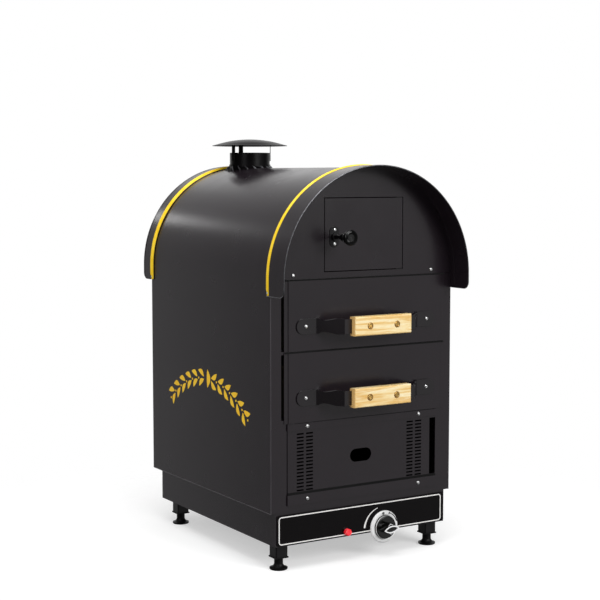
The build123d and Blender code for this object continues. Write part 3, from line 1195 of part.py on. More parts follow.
with BuildPart() as trim_strips:
    # half-round bands that cover the visors' seats
    for strip_depth in (STRIP_WIDTH / 2 + FIT, CASE_DEPTH - STRIP_WIDTH / 2 - FIT):
        y_mid = FRONT_Y + strip_depth
        for side in (-1, 1):
            extrude(half_round(side, y_mid, VISOR_FOOT), amount=VISOR_LEG)
        revolve(
            half_round(1, y_mid, ARCH_HEIGHT),
            axis=Axis((0, y_mid, ARCH_HEIGHT), (0, -1, 0)),
            revolution_arc=180,
        )
save(trim_strips, "trim_strips")

# ---------------------------------------------------------------- chimney
FLUE_Y = FRONT_Y + FLUE_DEPTH
FLUE_AXIS = Axis((0, FLUE_Y, 0), (0, 0, 1))
PIPE_TOP = ROOF_TOP + PIPE_RISE
CAP_TOP = PIPE_TOP + CAP_GAP

with BuildPart() as chimney_pipe:
    with BuildSketch(Plane.XY.offset(ROOF_TOP - PIPE_DROP)):
        with Locations((0, FLUE_Y)):
            Circle(PIPE_RADIUS)
            Circle(PIPE_RADIUS - SHEET, mode=Mode.SUBTRACT)
    extrude(amount=PIPE_RISE + PIPE_DROP)
save(chimney_pipe, "chimney_pipe")

with BuildPart() as chimney_collar:
    with BuildSketch(Plane.XZ.offset(-FLUE_Y)):
        with BuildLine():
            collar_in = PIPE_RADIUS + FIT
            collar_out = collar_in + SHEET
            skirt = collar_in + COLLAR_FLARE
            skirt_z = ROOF_TOP - COLLAR_SKIRT
            Polyline(
                (collar_in, ROOF_TOP + COLLAR_RISE), (collar_out, ROOF_TOP + COLLAR_RISE),
                (collar_out, ROOF_TOP + COLLAR_NECK), (skirt, skirt_z),
                (skirt - SHEET, skirt_z - SHEET), (collar_in, ROOF_TOP + COLLAR_NECK - 2 * SHEET),
                close=True,
            )
        make_face()
    revolve(axis=FLUE_AXIS)
    extrude(arch(CASE_RADIUS + FIT, CASE_FLOOR, CASE_DEPTH), amount=CASE_DEPTH, mode=Mode.SUBTRACT)
save(chimney_collar, "chimney_collar")

DOME_RADIUS = ((CAP_RADIUS - CAP_RIM) ** 2 + CAP_RISE**2) / (2 * CAP_RISE)


def cap_height(radius):
    """Height of the cap's upper surface at a distance from its axis."""
    return CAP_TOP - DOME_RADIUS + math.sqrt(DOME_RADIUS**2 - radius**2)


with BuildPart() as chimney_cap:
    with BuildSketch(Plane.XZ.offset(-FLUE_Y)):
        with BuildLine():
            shoulder = CAP_RADIUS - CAP_RIM
            halfway = shoulder / 2
            rim_z = cap_height(shoulder) - CAP_RIM_DROP
            ThreePointArc((0, CAP_TOP), (halfway, cap_height(halfway)), (shoulder, cap_height(shoulder)))
            Polyline(
                (shoulder, cap_height(shoulder)), (CAP_RADIUS, rim_z), (CAP_RADIUS, rim_z - CAP_SHEET),
                (shoulder, cap_height(shoulder) - CAP_SHEET),
            )
            ThreePointArc(
                (shoulder, cap_height(shoulder) - CAP_SHEET), (halfway, cap_height(halfway) - CAP_SHEET),
                (0, CAP_TOP - CAP_SHEET),
            )
            Line((0, CAP_TOP - CAP_SHEET), (0, CAP_TOP))
        make_face()
    revolve(axis=FLUE_AXIS)
save(chimney_cap, "chimney_cap")

with BuildPart() as cap_straps:
    strap_in = PIPE_RADIUS + FIT + STRAP_GAP
    strap_top = cap_height(strap_in + STRAP_SHEET) - CAP_SHEET - 2 * FIT
    for angle in STRAP_ANGLES:
        strap_plane = Plane((0, FLUE_Y, 0), x_dir=(1, 0, 0), z_dir=(0, 0, 1)).rotated((0, 0, angle))
        with BuildSketch(strap_plane.offset(PIPE_TOP - STRAP_OVERLAP)):
            with Locations((strap_in + STRAP_SHEET / 2, 0)):
                Rectangle(STRAP_SHEET, STRAP_WIDTH)
        extrude(amount=strap_top - PIPE_TOP + STRAP_OVERLAP)
        with BuildSketch(strap_plane.offset(strap_top - STRAP_SHEET)):
            with Locations((strap_in + STRAP_SHEET - STRAP_FOOT / 2, 0)):
                Rectangle(STRAP_FOOT, STRAP_WIDTH)
        extrude(amount=STRAP_SHEET)
save(cap_straps, "cap_straps")

# ---------------------------------------------------------------- case screws
with BuildPart() as case_screws:
    with BuildSketch(face_plane(0)):
        with Locations((0, ARCH_HEIGHT + ARCH_SCREW_RISE)):
            with GridLocations(ARCH_SCREW_SPACING, 1, 2, 1):
                Circle(SCREW_HEAD)
    extrude(amount=SCREW_RISE, taper=HEAD_TAPER)
    with BuildSketch(face_plane(RAIL_REAR - SHEET)):
        for rail in (LOWER_RAIL, UPPER_RAIL):
            with Locations((0, sum(rail) / 2)):
                with GridLocations(RAIL_SCREW_SPACING, 1, 2, 1):
                    Circle(SCREW_HEAD)
    extrude(amount=SCREW_RISE, taper=HEAD_TAPER)
save(case_screws, "case_screws")
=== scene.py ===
"""Looks of the baked potato oven: finishes, printed marks, fasteners, small trim and studio."""
import json
import math

import bmesh
import bpy
from mathutils import Matrix, Vector


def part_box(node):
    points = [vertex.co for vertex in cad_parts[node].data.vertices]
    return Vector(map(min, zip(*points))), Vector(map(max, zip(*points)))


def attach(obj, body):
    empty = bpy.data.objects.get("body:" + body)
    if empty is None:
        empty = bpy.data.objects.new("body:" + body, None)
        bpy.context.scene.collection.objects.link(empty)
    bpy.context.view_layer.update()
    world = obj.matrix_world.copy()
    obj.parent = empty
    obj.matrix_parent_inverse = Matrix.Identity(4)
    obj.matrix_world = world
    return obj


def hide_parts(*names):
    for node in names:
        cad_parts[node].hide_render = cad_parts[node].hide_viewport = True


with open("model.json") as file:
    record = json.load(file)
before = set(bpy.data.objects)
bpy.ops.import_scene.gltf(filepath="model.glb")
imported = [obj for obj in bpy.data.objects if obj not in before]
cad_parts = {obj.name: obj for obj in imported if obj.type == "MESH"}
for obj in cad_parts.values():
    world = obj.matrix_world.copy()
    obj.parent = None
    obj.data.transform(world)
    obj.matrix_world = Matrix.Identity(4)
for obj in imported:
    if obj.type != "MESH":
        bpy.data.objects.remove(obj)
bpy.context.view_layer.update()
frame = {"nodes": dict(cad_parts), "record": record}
nodes = frame["nodes"]

MM = 0.001
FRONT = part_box("body_skin")[0].y            # front face of the case
SIDE, REAR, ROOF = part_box("body_skin")[1]   # half its width, its rear edge and its top
ARCH_Z = ROOF - SIDE                        # height of the roof's centre


# ---------------------------------------------------------------- shader tools
def colour(code):
    """sRGB hex to the linear colour that the shaders take."""
    parts = [int(code[i:i + 2], 16) / 255 for i in (1, 3, 5)]
    return tuple(p / 12.92 if p <= 0.04045 else ((p + 0.055) / 1.055) ** 2.4 for p in parts) + (1,)


def add(tree, kind, inputs=None, stops=(), **settings):
    """Adds a node with its settings and links. An input is a value, a socket, or the node that
    feeds it; stops are a colour ramp's places and hex colours."""
    made = tree.nodes.new(kind)
    for name, value in settings.items():
        setattr(made, name, value)
    for name, value in (inputs or {}).items():
        if isinstance(value, bpy.types.Node):
            value = next(socket for socket in value.outputs if socket.enabled)
        if isinstance(value, bpy.types.NodeSocket):
            tree.links.new(value, made.inputs[name])
        else:
            made.inputs[name].default_value = value
    for i, (place, code) in enumerate(stops):
        bands = made.color_ramp.elements
        band = bands[i] if i < len(bands) else bands.new(place)
        band.position, band.color = place, colour(code)
    return made


def start_finish(name):
    """New material, its empty tree and the place on the object, in metres."""
    made = bpy.data.materials.new(name)
    made.use_nodes = True
    made.node_tree.nodes.clear()
    return made, made.node_tree, add(made.node_tree, "ShaderNodeTexCoord").outputs["Object"]


def per_mm(millimetres):
    """Noise scale at which one grain is this wide."""
    return 1 / (millimetres * MM)


# ---------------------------------------------------------------- finishes
PAINT_IOR = 1.5         # paint, powder, varnish and moulded plastics


def powder_coat(name, low, high, roughness, peel, shine=0.5):
    """Polyester powder, sprayed on folded sheet and baked. The eye gets an even satin black with
    soft broad highlights, a faint orange peel and the dull smears of wiping hands."""
    made, tree, place = start_finish(name)
    # coat thickness drifts over about a hand's width
    drift = add(tree, "ShaderNodeTexNoise", {"Vector": place, "Scale": per_mm(90), "Detail": 4.0})
    tone = add(tree, "ShaderNodeValToRGB", {"Fac": drift}, ((0.35, low), (0.65, high)))
    # wiping marks, 60 mm wide, change only the gloss
    smears = add(tree, "ShaderNodeTexNoise", {
        "Vector": place, "Scale": per_mm(60), "Detail": 3.0, "Distortion": 0.4})
    gloss = add(tree, "ShaderNodeMapRange", {
        "Value": smears, "From Min": 0.3, "From Max": 0.7,
        "To Min": roughness - 0.015, "To Max": roughness + 0.025})
    # orange peel is 1 to 2 mm wide; drawn at 3.5 mm so that it shows
    skin = add(tree, "ShaderNodeTexNoise", {"Vector": place, "Scale": per_mm(3.5), "Detail": 2.0})
    bump = add(tree, "ShaderNodeBump", {"Height": skin, "Strength": peel, "Distance": 0.12 * MM})
    shader = add(tree, "ShaderNodeBsdfPrincipled", {
        "Base Color": tone, "Roughness": gloss, "Normal": bump, "IOR": PAINT_IOR,
        "Specular IOR Level": shine})
    add(tree, "ShaderNodeOutputMaterial", {"Surface": shader})
    return made


def rolled_stainless(name, low, high, roughness):
    """2B stainless sheet, cold rolled and pickled. The eye gets a grey, milky mirror with fine
    lines along the rolling and straw tints where it has been hot."""
    made, tree, place = start_finish(name)
    # rolling lines are 0.1 mm apart; drawn 1.2 mm wide and 60 mm long so that they show
    along = add(tree, "ShaderNodeMapping", {
        "Vector": place, "Scale": (per_mm(1.2), per_mm(60), per_mm(1.2))})
    lines = add(tree, "ShaderNodeTexNoise", {"Vector": along, "Scale": 1.0, "Detail": 3.0})
    heat = add(tree, "ShaderNodeTexNoise", {"Vector": place, "Scale": per_mm(120), "Detail": 3.0})
    tone = add(tree, "ShaderNodeValToRGB", {"Fac": heat}, ((0.3, low), (0.75, high)))
    gloss = add(tree, "ShaderNodeMapRange", {
        "Value": lines, "To Min": roughness - 0.08, "To Max": roughness + 0.1})
    bump = add(tree, "ShaderNodeBump", {"Height": lines, "Strength": 0.15, "Distance": 0.05 * MM})
    shader = add(tree, "ShaderNodeBsdfPrincipled", {
        "Base Color": tone, "Metallic": 1.0, "Roughness": gloss, "Normal": bump})
    add(tree, "ShaderNodeOutputMaterial", {"Surface": shader})
    return made


def plated_metal(name, low, high, roughness, mark_mm):
    """Plated or polished small metal parts. The eye gets a clean bright metal, with clouds of fine
    handling marks as wide as mark_mm."""
    made, tree, place = start_finish(name)
    marks = add(tree, "ShaderNodeTexNoise", {
        "Vector": place, "Scale": per_mm(mark_mm), "Detail": 4.0})
    tone = add(tree, "ShaderNodeValToRGB", {"Fac": marks}, ((0.35, low), (0.6, high)))
    gloss = add(tree, "ShaderNodeMapRange", {
        "Value": marks, "From Min": 0.3, "From Max": 0.7,
        "To Min": max(roughness - 0.05, 0.03), "To Max": roughness + 0.08})
    bump = add(tree, "ShaderNodeBump", {"Height": marks, "Strength": 0.06, "Distance": 0.05 * MM})
    shader = add(tree, "ShaderNodeBsdfPrincipled", {
        "Base Color": tone, "Metallic": 1.0, "Roughness": gloss, "Normal": bump})
    add(tree, "ShaderNodeOutputMaterial", {"Surface": shader})
    return made


def varnished_ash():
    """Ash, planed and clear varnished. The eye gets cream to honey wood with long darker growth
    bands along the grip, short fine pores, a warm orange on the cut ends and a soft varnish
    shine."""
    made, tree, place = start_finish("varnished_ash")
    # growth bands 9 mm apart across the grip, drawn out to 160 mm along it
    bands = add(tree, "ShaderNodeMapping", {
        "Vector": place, "Rotation": (0.0, 0.02, 0.03),
        "Scale": (per_mm(160), per_mm(9), per_mm(9))})
    figure = add(tree, "ShaderNodeTexNoise", {
        "Vector": bands, "Scale": 1.0, "Detail": 6.0, "Roughness": 0.55, "Distortion": 0.6})
    # pores are 0.3 mm wide; drawn 0.9 mm wide so that they show
    short = add(tree, "ShaderNodeMapping", {
        "Vector": place, "Scale": (per_mm(14), per_mm(0.9), per_mm(0.9))})
    pores = add(tree, "ShaderNodeTexNoise", {"Vector": short, "Scale": 1.0, "Detail": 3.0})
    honey = add(tree, "ShaderNodeValToRGB", {"Fac": figure}, (
        (0.25, "#FFF6DC"), (0.45, "#FCEAB8"), (0.58, "#E9BE6E"), (0.7, "#FFF0C8")))
    streaks = add(tree, "ShaderNodeValToRGB", {"Fac": pores}, ((0.35, "#F6E0B4"), (0.6, "#FFFFFF")))
    grain = add(tree, "ShaderNodeMix", {0: 0.6, 6: honey, 7: streaks},
                data_type="RGBA", blend_type="MULTIPLY").outputs[2]
    # the cut ends face left and right, and drink more varnish
    outward = add(tree, "ShaderNodeNewGeometry").outputs["Normal"]
    facing = add(tree, "ShaderNodeSeparateXYZ", {"Vector": outward})
    sideways = add(tree, "ShaderNodeMath", {0: facing.outputs["X"]}, operation="ABSOLUTE")
    cut_end = add(tree, "ShaderNodeMapRange", {
        "Value": sideways, "From Min": 0.7, "From Max": 0.95})
    wood = add(tree, "ShaderNodeMix", {0: cut_end, 6: grain, 7: colour("#F0C27A")},
               data_type="RGBA").outputs[2]
    bump = add(tree, "ShaderNodeBump", {"Height": pores, "Strength": 0.12, "Distance": 0.1 * MM})
    shader = add(tree, "ShaderNodeBsdfPrincipled", {
        "Base Color": wood, "Roughness": 0.34, "Normal": bump, "IOR": PAINT_IOR,
        "Coat Weight": 0.3, "Coat Roughness": 0.12})
    add(tree, "ShaderNodeOutputMaterial", {"Surface": shader})
    return made


def dusty_black(name, low, high, roughness, dulled, shine=0.5):
    """Moulded phenolic, polyamide or lacquered plate. The eye gets a near black with sharp small
    highlights, dulled in clouds by dust and grease."""
    made, tree, place = start_finish(name)
    specks = add(tree, "ShaderNodeTexNoise", {"Vector": place, "Scale": per_mm(2.5), "Detail": 6.0})
    tone = add(tree, "ShaderNodeValToRGB", {"Fac": specks}, ((0.55, low), (0.8, high)))
    clouds = add(tree, "ShaderNodeTexNoise", {"Vector": place, "Scale": per_mm(25), "Detail": 3.0})
    gloss = add(tree, "ShaderNodeMapRange", {
        "Value": clouds, "From Min": 0.35, "From Max": 0.7,
        "To Min": roughness, "To Max": roughness + dulled})
    shader = add(tree, "ShaderNodeBsdfPrincipled", {
        "Base Color": tone, "Roughness": gloss, "IOR": PAINT_IOR, "Specular IOR Level": shine})
    add(tree, "ShaderNodeOutputMaterial", {"Surface": shader})
    return made


def turned_aluminium():
    """Satin aluminium, faced on a lathe and clear anodised. The eye gets a near white ring with
    fine turned circles, and a painted sheen: whiter left and right of the middle, greyer above and
    below."""
    made, tree, place = start_finish("turned_satin_aluminium")
    low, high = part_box("dial_bezel")
    centred = add(tree, "ShaderNodeVectorMath", {0: place, 1: (low + high) / 2},
                  operation="SUBTRACT")
    part = add(tree, "ShaderNodeSeparateXYZ", {"Vector": centred})
    across = add(tree, "ShaderNodeCombineXYZ", {"X": part.outputs["X"], "Y": part.outputs["Z"]})
    radius = add(tree, "ShaderNodeVectorMath", {0: across}, operation="LENGTH").outputs["Value"]
    # tool marks are 0.1 mm apart; drawn 1.1 mm apart, one radian in 0.18 mm, so that they show
    turns = add(tree, "ShaderNodeMath", {0: radius, 1: per_mm(0.18)}, operation="MULTIPLY")
    rings = add(tree, "ShaderNodeMath", {0: turns}, operation="SINE")
    # painted sheen: whiter to the left and right of the middle, greyer above and below
    angle = add(tree, "ShaderNodeMath", {0: part.outputs["Z"], 1: part.outputs["X"]},
                operation="ARCTAN2")
    fan = add(tree, "ShaderNodeMath", {0: angle, 1: 2.0}, operation="MULTIPLY")
    sheen = add(tree, "ShaderNodeMath", {0: fan}, operation="COSINE")
    tone = add(tree, "ShaderNodeMapRange", {"Value": sheen, "From Min": -1.0})
    grey = add(tree, "ShaderNodeValToRGB", {"Fac": tone}, ((0.1, "#F0F0F0"), (0.9, "#FFFFFF")))
    bump = add(tree, "ShaderNodeBump", {"Height": rings, "Strength": 0.12, "Distance": 0.05 * MM})
    shader = add(tree, "ShaderNodeBsdfPrincipled", {
        "Base Color": grey, "Metallic": 0.3, "Roughness": 0.42, "Normal": bump})
    add(tree, "ShaderNodeOutputMaterial", {"Surface": shader})
    return made


def red_acrylic():
    """Pilot lamp lens, moulded in clear red acrylic over a lit neon. The eye gets a saturated red
    that glows a little, with small sharp highlights."""
    made, tree, place = start_finish("red_acrylic")
    lit = add(tree, "ShaderNodeTexNoise", {"Vector": place, "Scale": per_mm(6), "Detail": 2.0})
    tone = add(tree, "ShaderNodeValToRGB", {"Fac": lit}, ((0.3, "#D8101E"), (0.7, "#F2404A")))
    shader = add(tree, "ShaderNodeBsdfPrincipled", {
        "Base Color": tone, "Roughness": 0.12, "IOR": 1.49, "Coat Weight": 0.5,
        "Emission Color": colour("#E01422"), "Emission Strength": 0.3})
    add(tree, "ShaderNodeOutputMaterial", {"Surface": shader})
    return made


def paint_film(name, low, high, roughness, shine=0.5):
    """Enamel, screen ink or cut vinyl. The eye gets one clear colour with slight thick and thin
    places and a soft, slightly uneven skin."""
    made, tree, place = start_finish(name)
    film = add(tree, "ShaderNodeTexNoise", {"Vector": place, "Scale": per_mm(18), "Detail": 4.0})
    tone = add(tree, "ShaderNodeValToRGB", {"Fac": film}, ((0.35, low), (0.65, high)))
    skin = add(tree, "ShaderNodeTexNoise", {"Vector": place, "Scale": per_mm(2.5), "Detail": 2.0})
    bump = add(tree, "ShaderNodeBump", {"Height": skin, "Strength": 0.1, "Distance": 0.1 * MM})
    shader = add(tree, "ShaderNodeBsdfPrincipled", {
        "Base Color": tone, "Roughness": roughness, "Normal": bump, "IOR": PAINT_IOR,
        "Specular IOR Level": shine})
    add(tree, "ShaderNodeOutputMaterial", {"Surface": shader})
    return made


# finish for each of the record's material slots
finishes = {
    # folded sheet of case and fronts: powder sprayed and baked; satin black, broad soft lights
    "black_sheet": powder_coat("satin_black_powder_coat", "#1A1419", "#1C161B", 0.25, 0.025),
    # welded tube legs and frame, latch plate: powder sprayed thicker; deeper black, duller lights
    "black_frame": powder_coat("black_powder_coat_frame", "#0C0A0C", "#100E10", 0.34, 0.05, 0.3),
    # liners and drawer boxes: cold rolled and pickled sheet; milky grey mirror with fine lines
    "stainless": rolled_stainless("cold_rolled_stainless", "#C9C8C4", "#B9AE9C", 0.34),
    # rack: wire drawn through a die; smooth bright rods with long thin lights
    "wire": plated_metal("bright_drawn_wire", "#BDBDBB", "#CFCFCD", 0.2, 5),
    # heating ring: alloy sheath scaled by heat; dark dull grey with brownish clouds
    "element": plated_metal("oxidised_element_sheath", "#4C4845", "#68625D", 0.5, 4),
    # fan motor: sprayed machine paint over a casting; plain mid grey with a coarse peel
    "motor": powder_coat("grey_motor_paint", "#55565A", "#5E5F63", 0.5, 0.1),
    # half-round strips: enamel sprayed and baked; warm yellow with a soft line of light
    "trim_yellow": paint_film("gold_yellow_enamel", "#F6CA1C", "#FFDA3C", 0.35, 0.2),
    # pan heads: pressed steel, barrel zinc plated; small pale dots with a dark cross
    "screws": plated_metal("zinc_plated_steel", "#E4E5E5", "#F4F5F5", 0.34, 2),
    # cup washers and their screws: pressed and turned brass, polished; warm gold with soft lights
    "brass": plated_metal("polished_brass", "#D2A552", "#EFCB80", 0.34, 2),
    # grips: planed ash under clear varnish; cream to honey with long grain
    "oak": varnished_ash(),
    # control panel: plate lacquered and baked; deep black with a tight gloss
    "panel_gloss": dusty_black(
        "gloss_black_lacquered_plate", "#080607", "#0F0C0E", 0.16, 0.1, 0.12),
    # dial and latch knob: phenolic moulded in a polished tool; black with small sharp lights
    "bakelite": dusty_black("moulded_phenolic", "#070707", "#131212", 0.13, 0.1),
    # ring round the dial: faced on a lathe and anodised; near white with turned circles and a
    # painted sheen
    "bezel": turned_aluminium(),
    # line on the dial: a groove filled with silver paint; one even pale line
    "chrome_trim": paint_film("silver_filled_line", "#ECECEE", "#FAFAFB", 0.3),
    # pilot lamp: clear red moulding over a neon; red that glows
    "lamp_red": red_acrylic(),
    # feet, leg plugs, gland and thermostat: polyamide from a matt tool; dull near black
    "black_plastic": dusty_black("moulded_polyamide", "#080708", "#0E0D0E", 0.42, 0.12, 0.25),
}
# flue pipe, collar and cap straps: stove paint brushed on hot steel; a black with hardly a light
stove_black = powder_coat("heatproof_black_stove_paint", "#040304", "#080608", 0.32, 0.05, 0.15)
# chimney cap: stove paint under a baked skin of soot; a dark that mirrors next to nothing
cap_black = powder_coat("sooted_black_cap_paint", "#0E0C0E", "#141214", 0.2, 0.03, 0.01)
# marks on the control panel: ink pulled through a screen and cured; flat, slightly uneven white
ink_white = paint_film("screen_printed_white_ink", "#E6E4E2", "#F2F0EE", 0.45)
# marks on the dial's ring: etched and filled with paint; thin matt black lines
ink_black = paint_film("etched_black_marks", "#0E0E0E", "#1A1A1A", 0.5)
# strip on the lower rail and seam cords: a black that gives no light back, painted shade of the
# seams there
felt = paint_film("painted_seam_shade_black", "#020202", "#050505", 1.0)
# handle straps: flat bar dipped in enamel and baked; deep black with clear small lights
strap_black = powder_coat("gloss_black_strap_enamel", "#0E090D", "#120C11", 0.28, 0.04, 0.6)
# folds of the case: dark grey powder coat, painted highlights along the edge lines
rubbed_black = powder_coat("painted_highlight_edges", "#383438", "#464246", 0.4, 0.03)
# visor's edge and collar crimps: grey bare metal, painted highlight lines and glints; a dull grey
# line of light
worn_edge = plated_metal("painted_highlight_bare_metal", "#707074", "#8E8E92", 0.42, 4)
# wood round the cup washers: a dark brown ring, painted shade of their recesses
burnt_rim = paint_film("painted_shade_countersink_rim", "#6E4118", "#8A5522", 0.6, 0.1)
# drawer runners: pressed steel coloured near black, painted shade of the gap they show through; a
# thin grey sheen
runner_steel = plated_metal("shade_dark_runner_steel", "#1C1C1E", "#2A2A2C", 0.5, 4)
# frieze: cast film, cut out and pressed on; one flat warm yellow with crisp edges
vinyl_gold = paint_film("gold_yellow_cut_vinyl", "#FFC824", "#FFD236", 0.38, 0.2)

# nodes whose finish differs from the rest of their slot
own_finish = {
    "chimney_pipe": stove_black, "chimney_collar": stove_black, "cap_straps": stove_black,
    "chimney_cap": cap_black, "drawer_runners": runner_steel,
    "upper_handle_strap": strap_black, "lower_handle_strap": strap_black,
}
for part in frame["record"]["subparts"]:
    finish = own_finish.get(part["node"], finishes[part["material_slot"]])
    for surface in nodes[part["node"]].material_slots:
        surface.material = finish


# ---------------------------------------------------------------- making pieces
SHARP = math.radians(30)            # folds sharper than this stay crisp
FIRST_TURN, NEXT_TURN = 0.35, 1.1   # radians: each screw head stops at an angle of its own
UP = Vector((0, 0, 1))
OUTWARD = Vector((0, -1, 0))        # out of the oven's front
SIDES = {"left": -1, "right": 1}


def piece(name, build, material, body):
    """Mesh object from a function that fills a bmesh, riding on a body."""
    shape = bmesh.new()
    build(shape)
    bmesh.ops.recalc_face_normals(shape, faces=shape.faces)
    mesh = bpy.data.meshes.new(name)
    shape.to_mesh(mesh)
    shape.free()
    mesh.materials.append(material)
    mesh.shade_smooth()
    mesh.set_sharp_from_angle(angle=SHARP)
    made = bpy.data.objects.new(name, mesh)
    bpy.context.scene.collection.objects.link(made)
    if body:
        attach(made, body)
    return made


def skin_over(shape, near, far):
    """Faces between two rings of as many points."""
    for i in range(len(near)):
        j = (i + 1) % len(near)
        shape.faces.new((near[i], near[j], far[j], far[i]))


def sweep(shape, section, stations, closed=False):
    """Carries a section along stations: each is a place, a vector across and a vector out."""
    rings = [
        [shape.verts.new(place + across * a + out * b) for a, b in section]
        for place, across, out in stations
    ]
    for near, far in zip(rings, rings[1:] + ([rings[0]] if closed else [])):
        skin_over(shape, near, far)
    if not closed:
        shape.faces.new(rings[0])
        shape.faces.new(rings[-1])


def bar(shape, section, ends, across, out):
    """Carries a section straight from one end to the other."""
    sweep(shape, section, [(Vector(end), Vector(across), Vector(out)) for end in ends])


def bead(radius, step, last=360, squash=1.0):
    """Round section for a sweep, or a flatter half-round one; step and last in degrees."""
    angles = [math.radians(a) for a in range(0, last, step)]
    return [(radius * math.cos(a), squash * radius * math.sin(a)) for a in angles]


def over_roof(radius, y, steps):
    """Places round the roof's half circle from left to right, each with its outward direction."""
    for i in range(steps + 1):
        angle = math.pi - math.pi * i / steps
        out = Vector((math.cos(angle), 0, math.sin(angle)))
        yield Vector((0, y, ARCH_Z)) + out * radius, out


def lathe(shape, profile, base, axis, segments=32):
    """Turns (radius, height) pairs about an axis that starts at base."""
    turn = UP.rotation_difference(Vector(axis)).to_matrix()
    rings = []
    for radius, height in profile:
        angles = [2 * math.pi * i / segments for i in range(segments)] if radius > 0 else [0]
        circle = [Vector((radius * math.cos(a), radius * math.sin(a), height)) for a in angles]
        rings.append([shape.verts.new(base + turn @ point) for point in circle])
    for low, high in zip(rings, rings[1:]):
        for i in range(segments):
            j = (i + 1) % segments
            corners = []
            for ring, k in ((low, i), (low, j), (high, j), (high, i)):
                if ring[k % len(ring)] not in corners:
                    corners.append(ring[k % len(ring)])
            if len(corners) > 2:
                shape.faces.new(corners)


def seated(base, axis, turn):
    """Function that puts a point of an upright screw head on its seat."""
    upright = UP.rotation_difference(Vector(axis)).to_matrix()
    spin = Matrix.Rotation(turn, 3, "Z")
    return lambda x, y, z: base + upright @ (spin @ Vector((x, y, z)))


def cross_head(shape, base, axis, radius, turn):
    """Pan head with a cross recess, standing on base."""
    put = seated(base, axis, turn)
    side, arm, height = 0.16 * radius, 0.52 * radius, 0.57 * radius
    cross = [(side, side), (side, arm), (-side, arm), (-side, side), (-arm, side), (-arm, -side),
             (-side, -side), (-side, -arm), (side, -arm), (side, -side), (arm, -side), (arm, side)]
    rim = [Vector(point).normalized() for point in cross]
    # outline, its size and its share of the height, over the dome and down into the recess
    levels = [(rim, radius, 0.0), (rim, radius, 0.4), (rim, 0.86 * radius, 0.8),
              (rim, 0.66 * radius, 1.0), (cross, 1.0, 1.02), (cross, 0.8, 0.5)]
    rings = [[shape.verts.new(put(x * size, z * size, level * height)) for x, z in line]
             for line, size, level in levels]
    for low, high in zip(rings, rings[1:]):
        skin_over(shape, low, high)
    shape.faces.new(rings[-1])


def cup_head(shape, base, axis, radius, turn):
    """Slotted countersunk wood screw in a pressed cup washer."""
    put = seated(base, axis, turn)
    washer = [(1.0, 0.0), (0.97, 0.1), (0.88, 0.19), (0.78, 0.2), (0.68, 0.13), (0.64, 0.02)]
    lathe(shape, [(r * radius, h * radius) for r, h in washer], base, axis)
    head, slot, top, deep = 0.62 * radius, 0.09 * radius, 0.14 * radius, 0.05 * radius
    lathe(shape, [(head, 0), (0.97 * head, deep), (0, deep)], base, axis)
    half_turn = [math.radians(15 * i) for i in range(13)]
    for facing in (1, -1):
        outline = [(head * math.cos(a), facing * (slot + (head - slot) * math.sin(a)))
                   for a in half_turn]
        rings = [[shape.verts.new(put(x * size, z, level)) for x, z in outline]
                 for size, level in ((1.0, deep), (0.95, top))]
        skin_over(shape, *rings)
        shape.faces.new(rings[1])


def heads(name, points, axis, radius, body, slot, replaced=None, maker=cross_head):
    """One piece with a head at each point, in place of a CAD node's plain heads."""
    def build(shape):
        for i, point in enumerate(points):
            maker(shape, Vector(point), axis, radius, FIRST_TURN + NEXT_TURN * i)
    made = piece(name, build, finishes[slot], body)
    if replaced:
        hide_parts(replaced)


# ---------------------------------------------------------------- fasteners
SCREW = 4.2 * MM                    # radius of a pan head
CUP = 6.3 * MM                      # radius of a cup washer
PLAIN_HEAD = 5 * MM                 # radius of the plain heads that the cup washers replace
RAIL_SCREW_X = 149.5 * MM
RAIL_SCREW_RISE = 11.5 * MM         # above the lower rail's edge
RAIL_SCREW_DROP = 7.5 * MM          # below the upper rail's edge

low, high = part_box("case_screws")
rail_low, rail_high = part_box("vent_rails")
arch_screws = [(x, FRONT, high.z - SCREW) for x in (low.x + SCREW, high.x - SCREW)]
rail_screws = [(x, rail_low.y, z) for x in (-RAIL_SCREW_X, RAIL_SCREW_X)
               for z in (rail_low.z + RAIL_SCREW_RISE, rail_high.z - RAIL_SCREW_DROP)]
heads("arch_and_rail_screws", arch_screws + rail_screws, OUTWARD, SCREW,
      "case", "screws", "case_screws")

low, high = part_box("latch_screws")
latch_screws = [((low.x + high.x) / 2, high.y, z) for z in (low.z + SCREW, high.z - SCREW)]
heads("latch_plate_screws", latch_screws, OUTWARD, SCREW, "door", "screws", "latch_screws")


def cup_rims(seats):
    """Dark brown ring in the wood round each cup washer, painted shade of its recess."""
    ring = [(CUP, 0.05 * MM), (CUP, 0.2 * MM), (CUP + 1.1 * MM, 0.15 * MM), (CUP + 1.2 * MM, 0)]

    def build(shape):
        for seat in seats:
            lathe(shape, ring, Vector(seat), OUTWARD)
    return build


for level in ("upper", "lower"):
    body = f"{level}_drawer"
    low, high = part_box(f"{level}_ear_screws")
    ears = [(x, high.y, (low.z + high.z) / 2) for x in (low.x + SCREW, high.x - SCREW)]
    heads(f"{level}_strap_screws", ears, OUTWARD, SCREW, body, "screws", f"{level}_ear_screws")
    low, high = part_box(f"{level}_grip_screws")
    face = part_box(f"{level}_handle_grip")[0].y
    seats = [(x, face, (low.z + high.z) / 2) for x in (low.x + PLAIN_HEAD, high.x - PLAIN_HEAD)]
    heads(f"{level}_grip_cup_screws", seats, OUTWARD, CUP, body, "brass",
          f"{level}_grip_screws", cup_head)
    piece(f"{level}_grip_cup_rims", cup_rims(seats), burnt_rim, body)

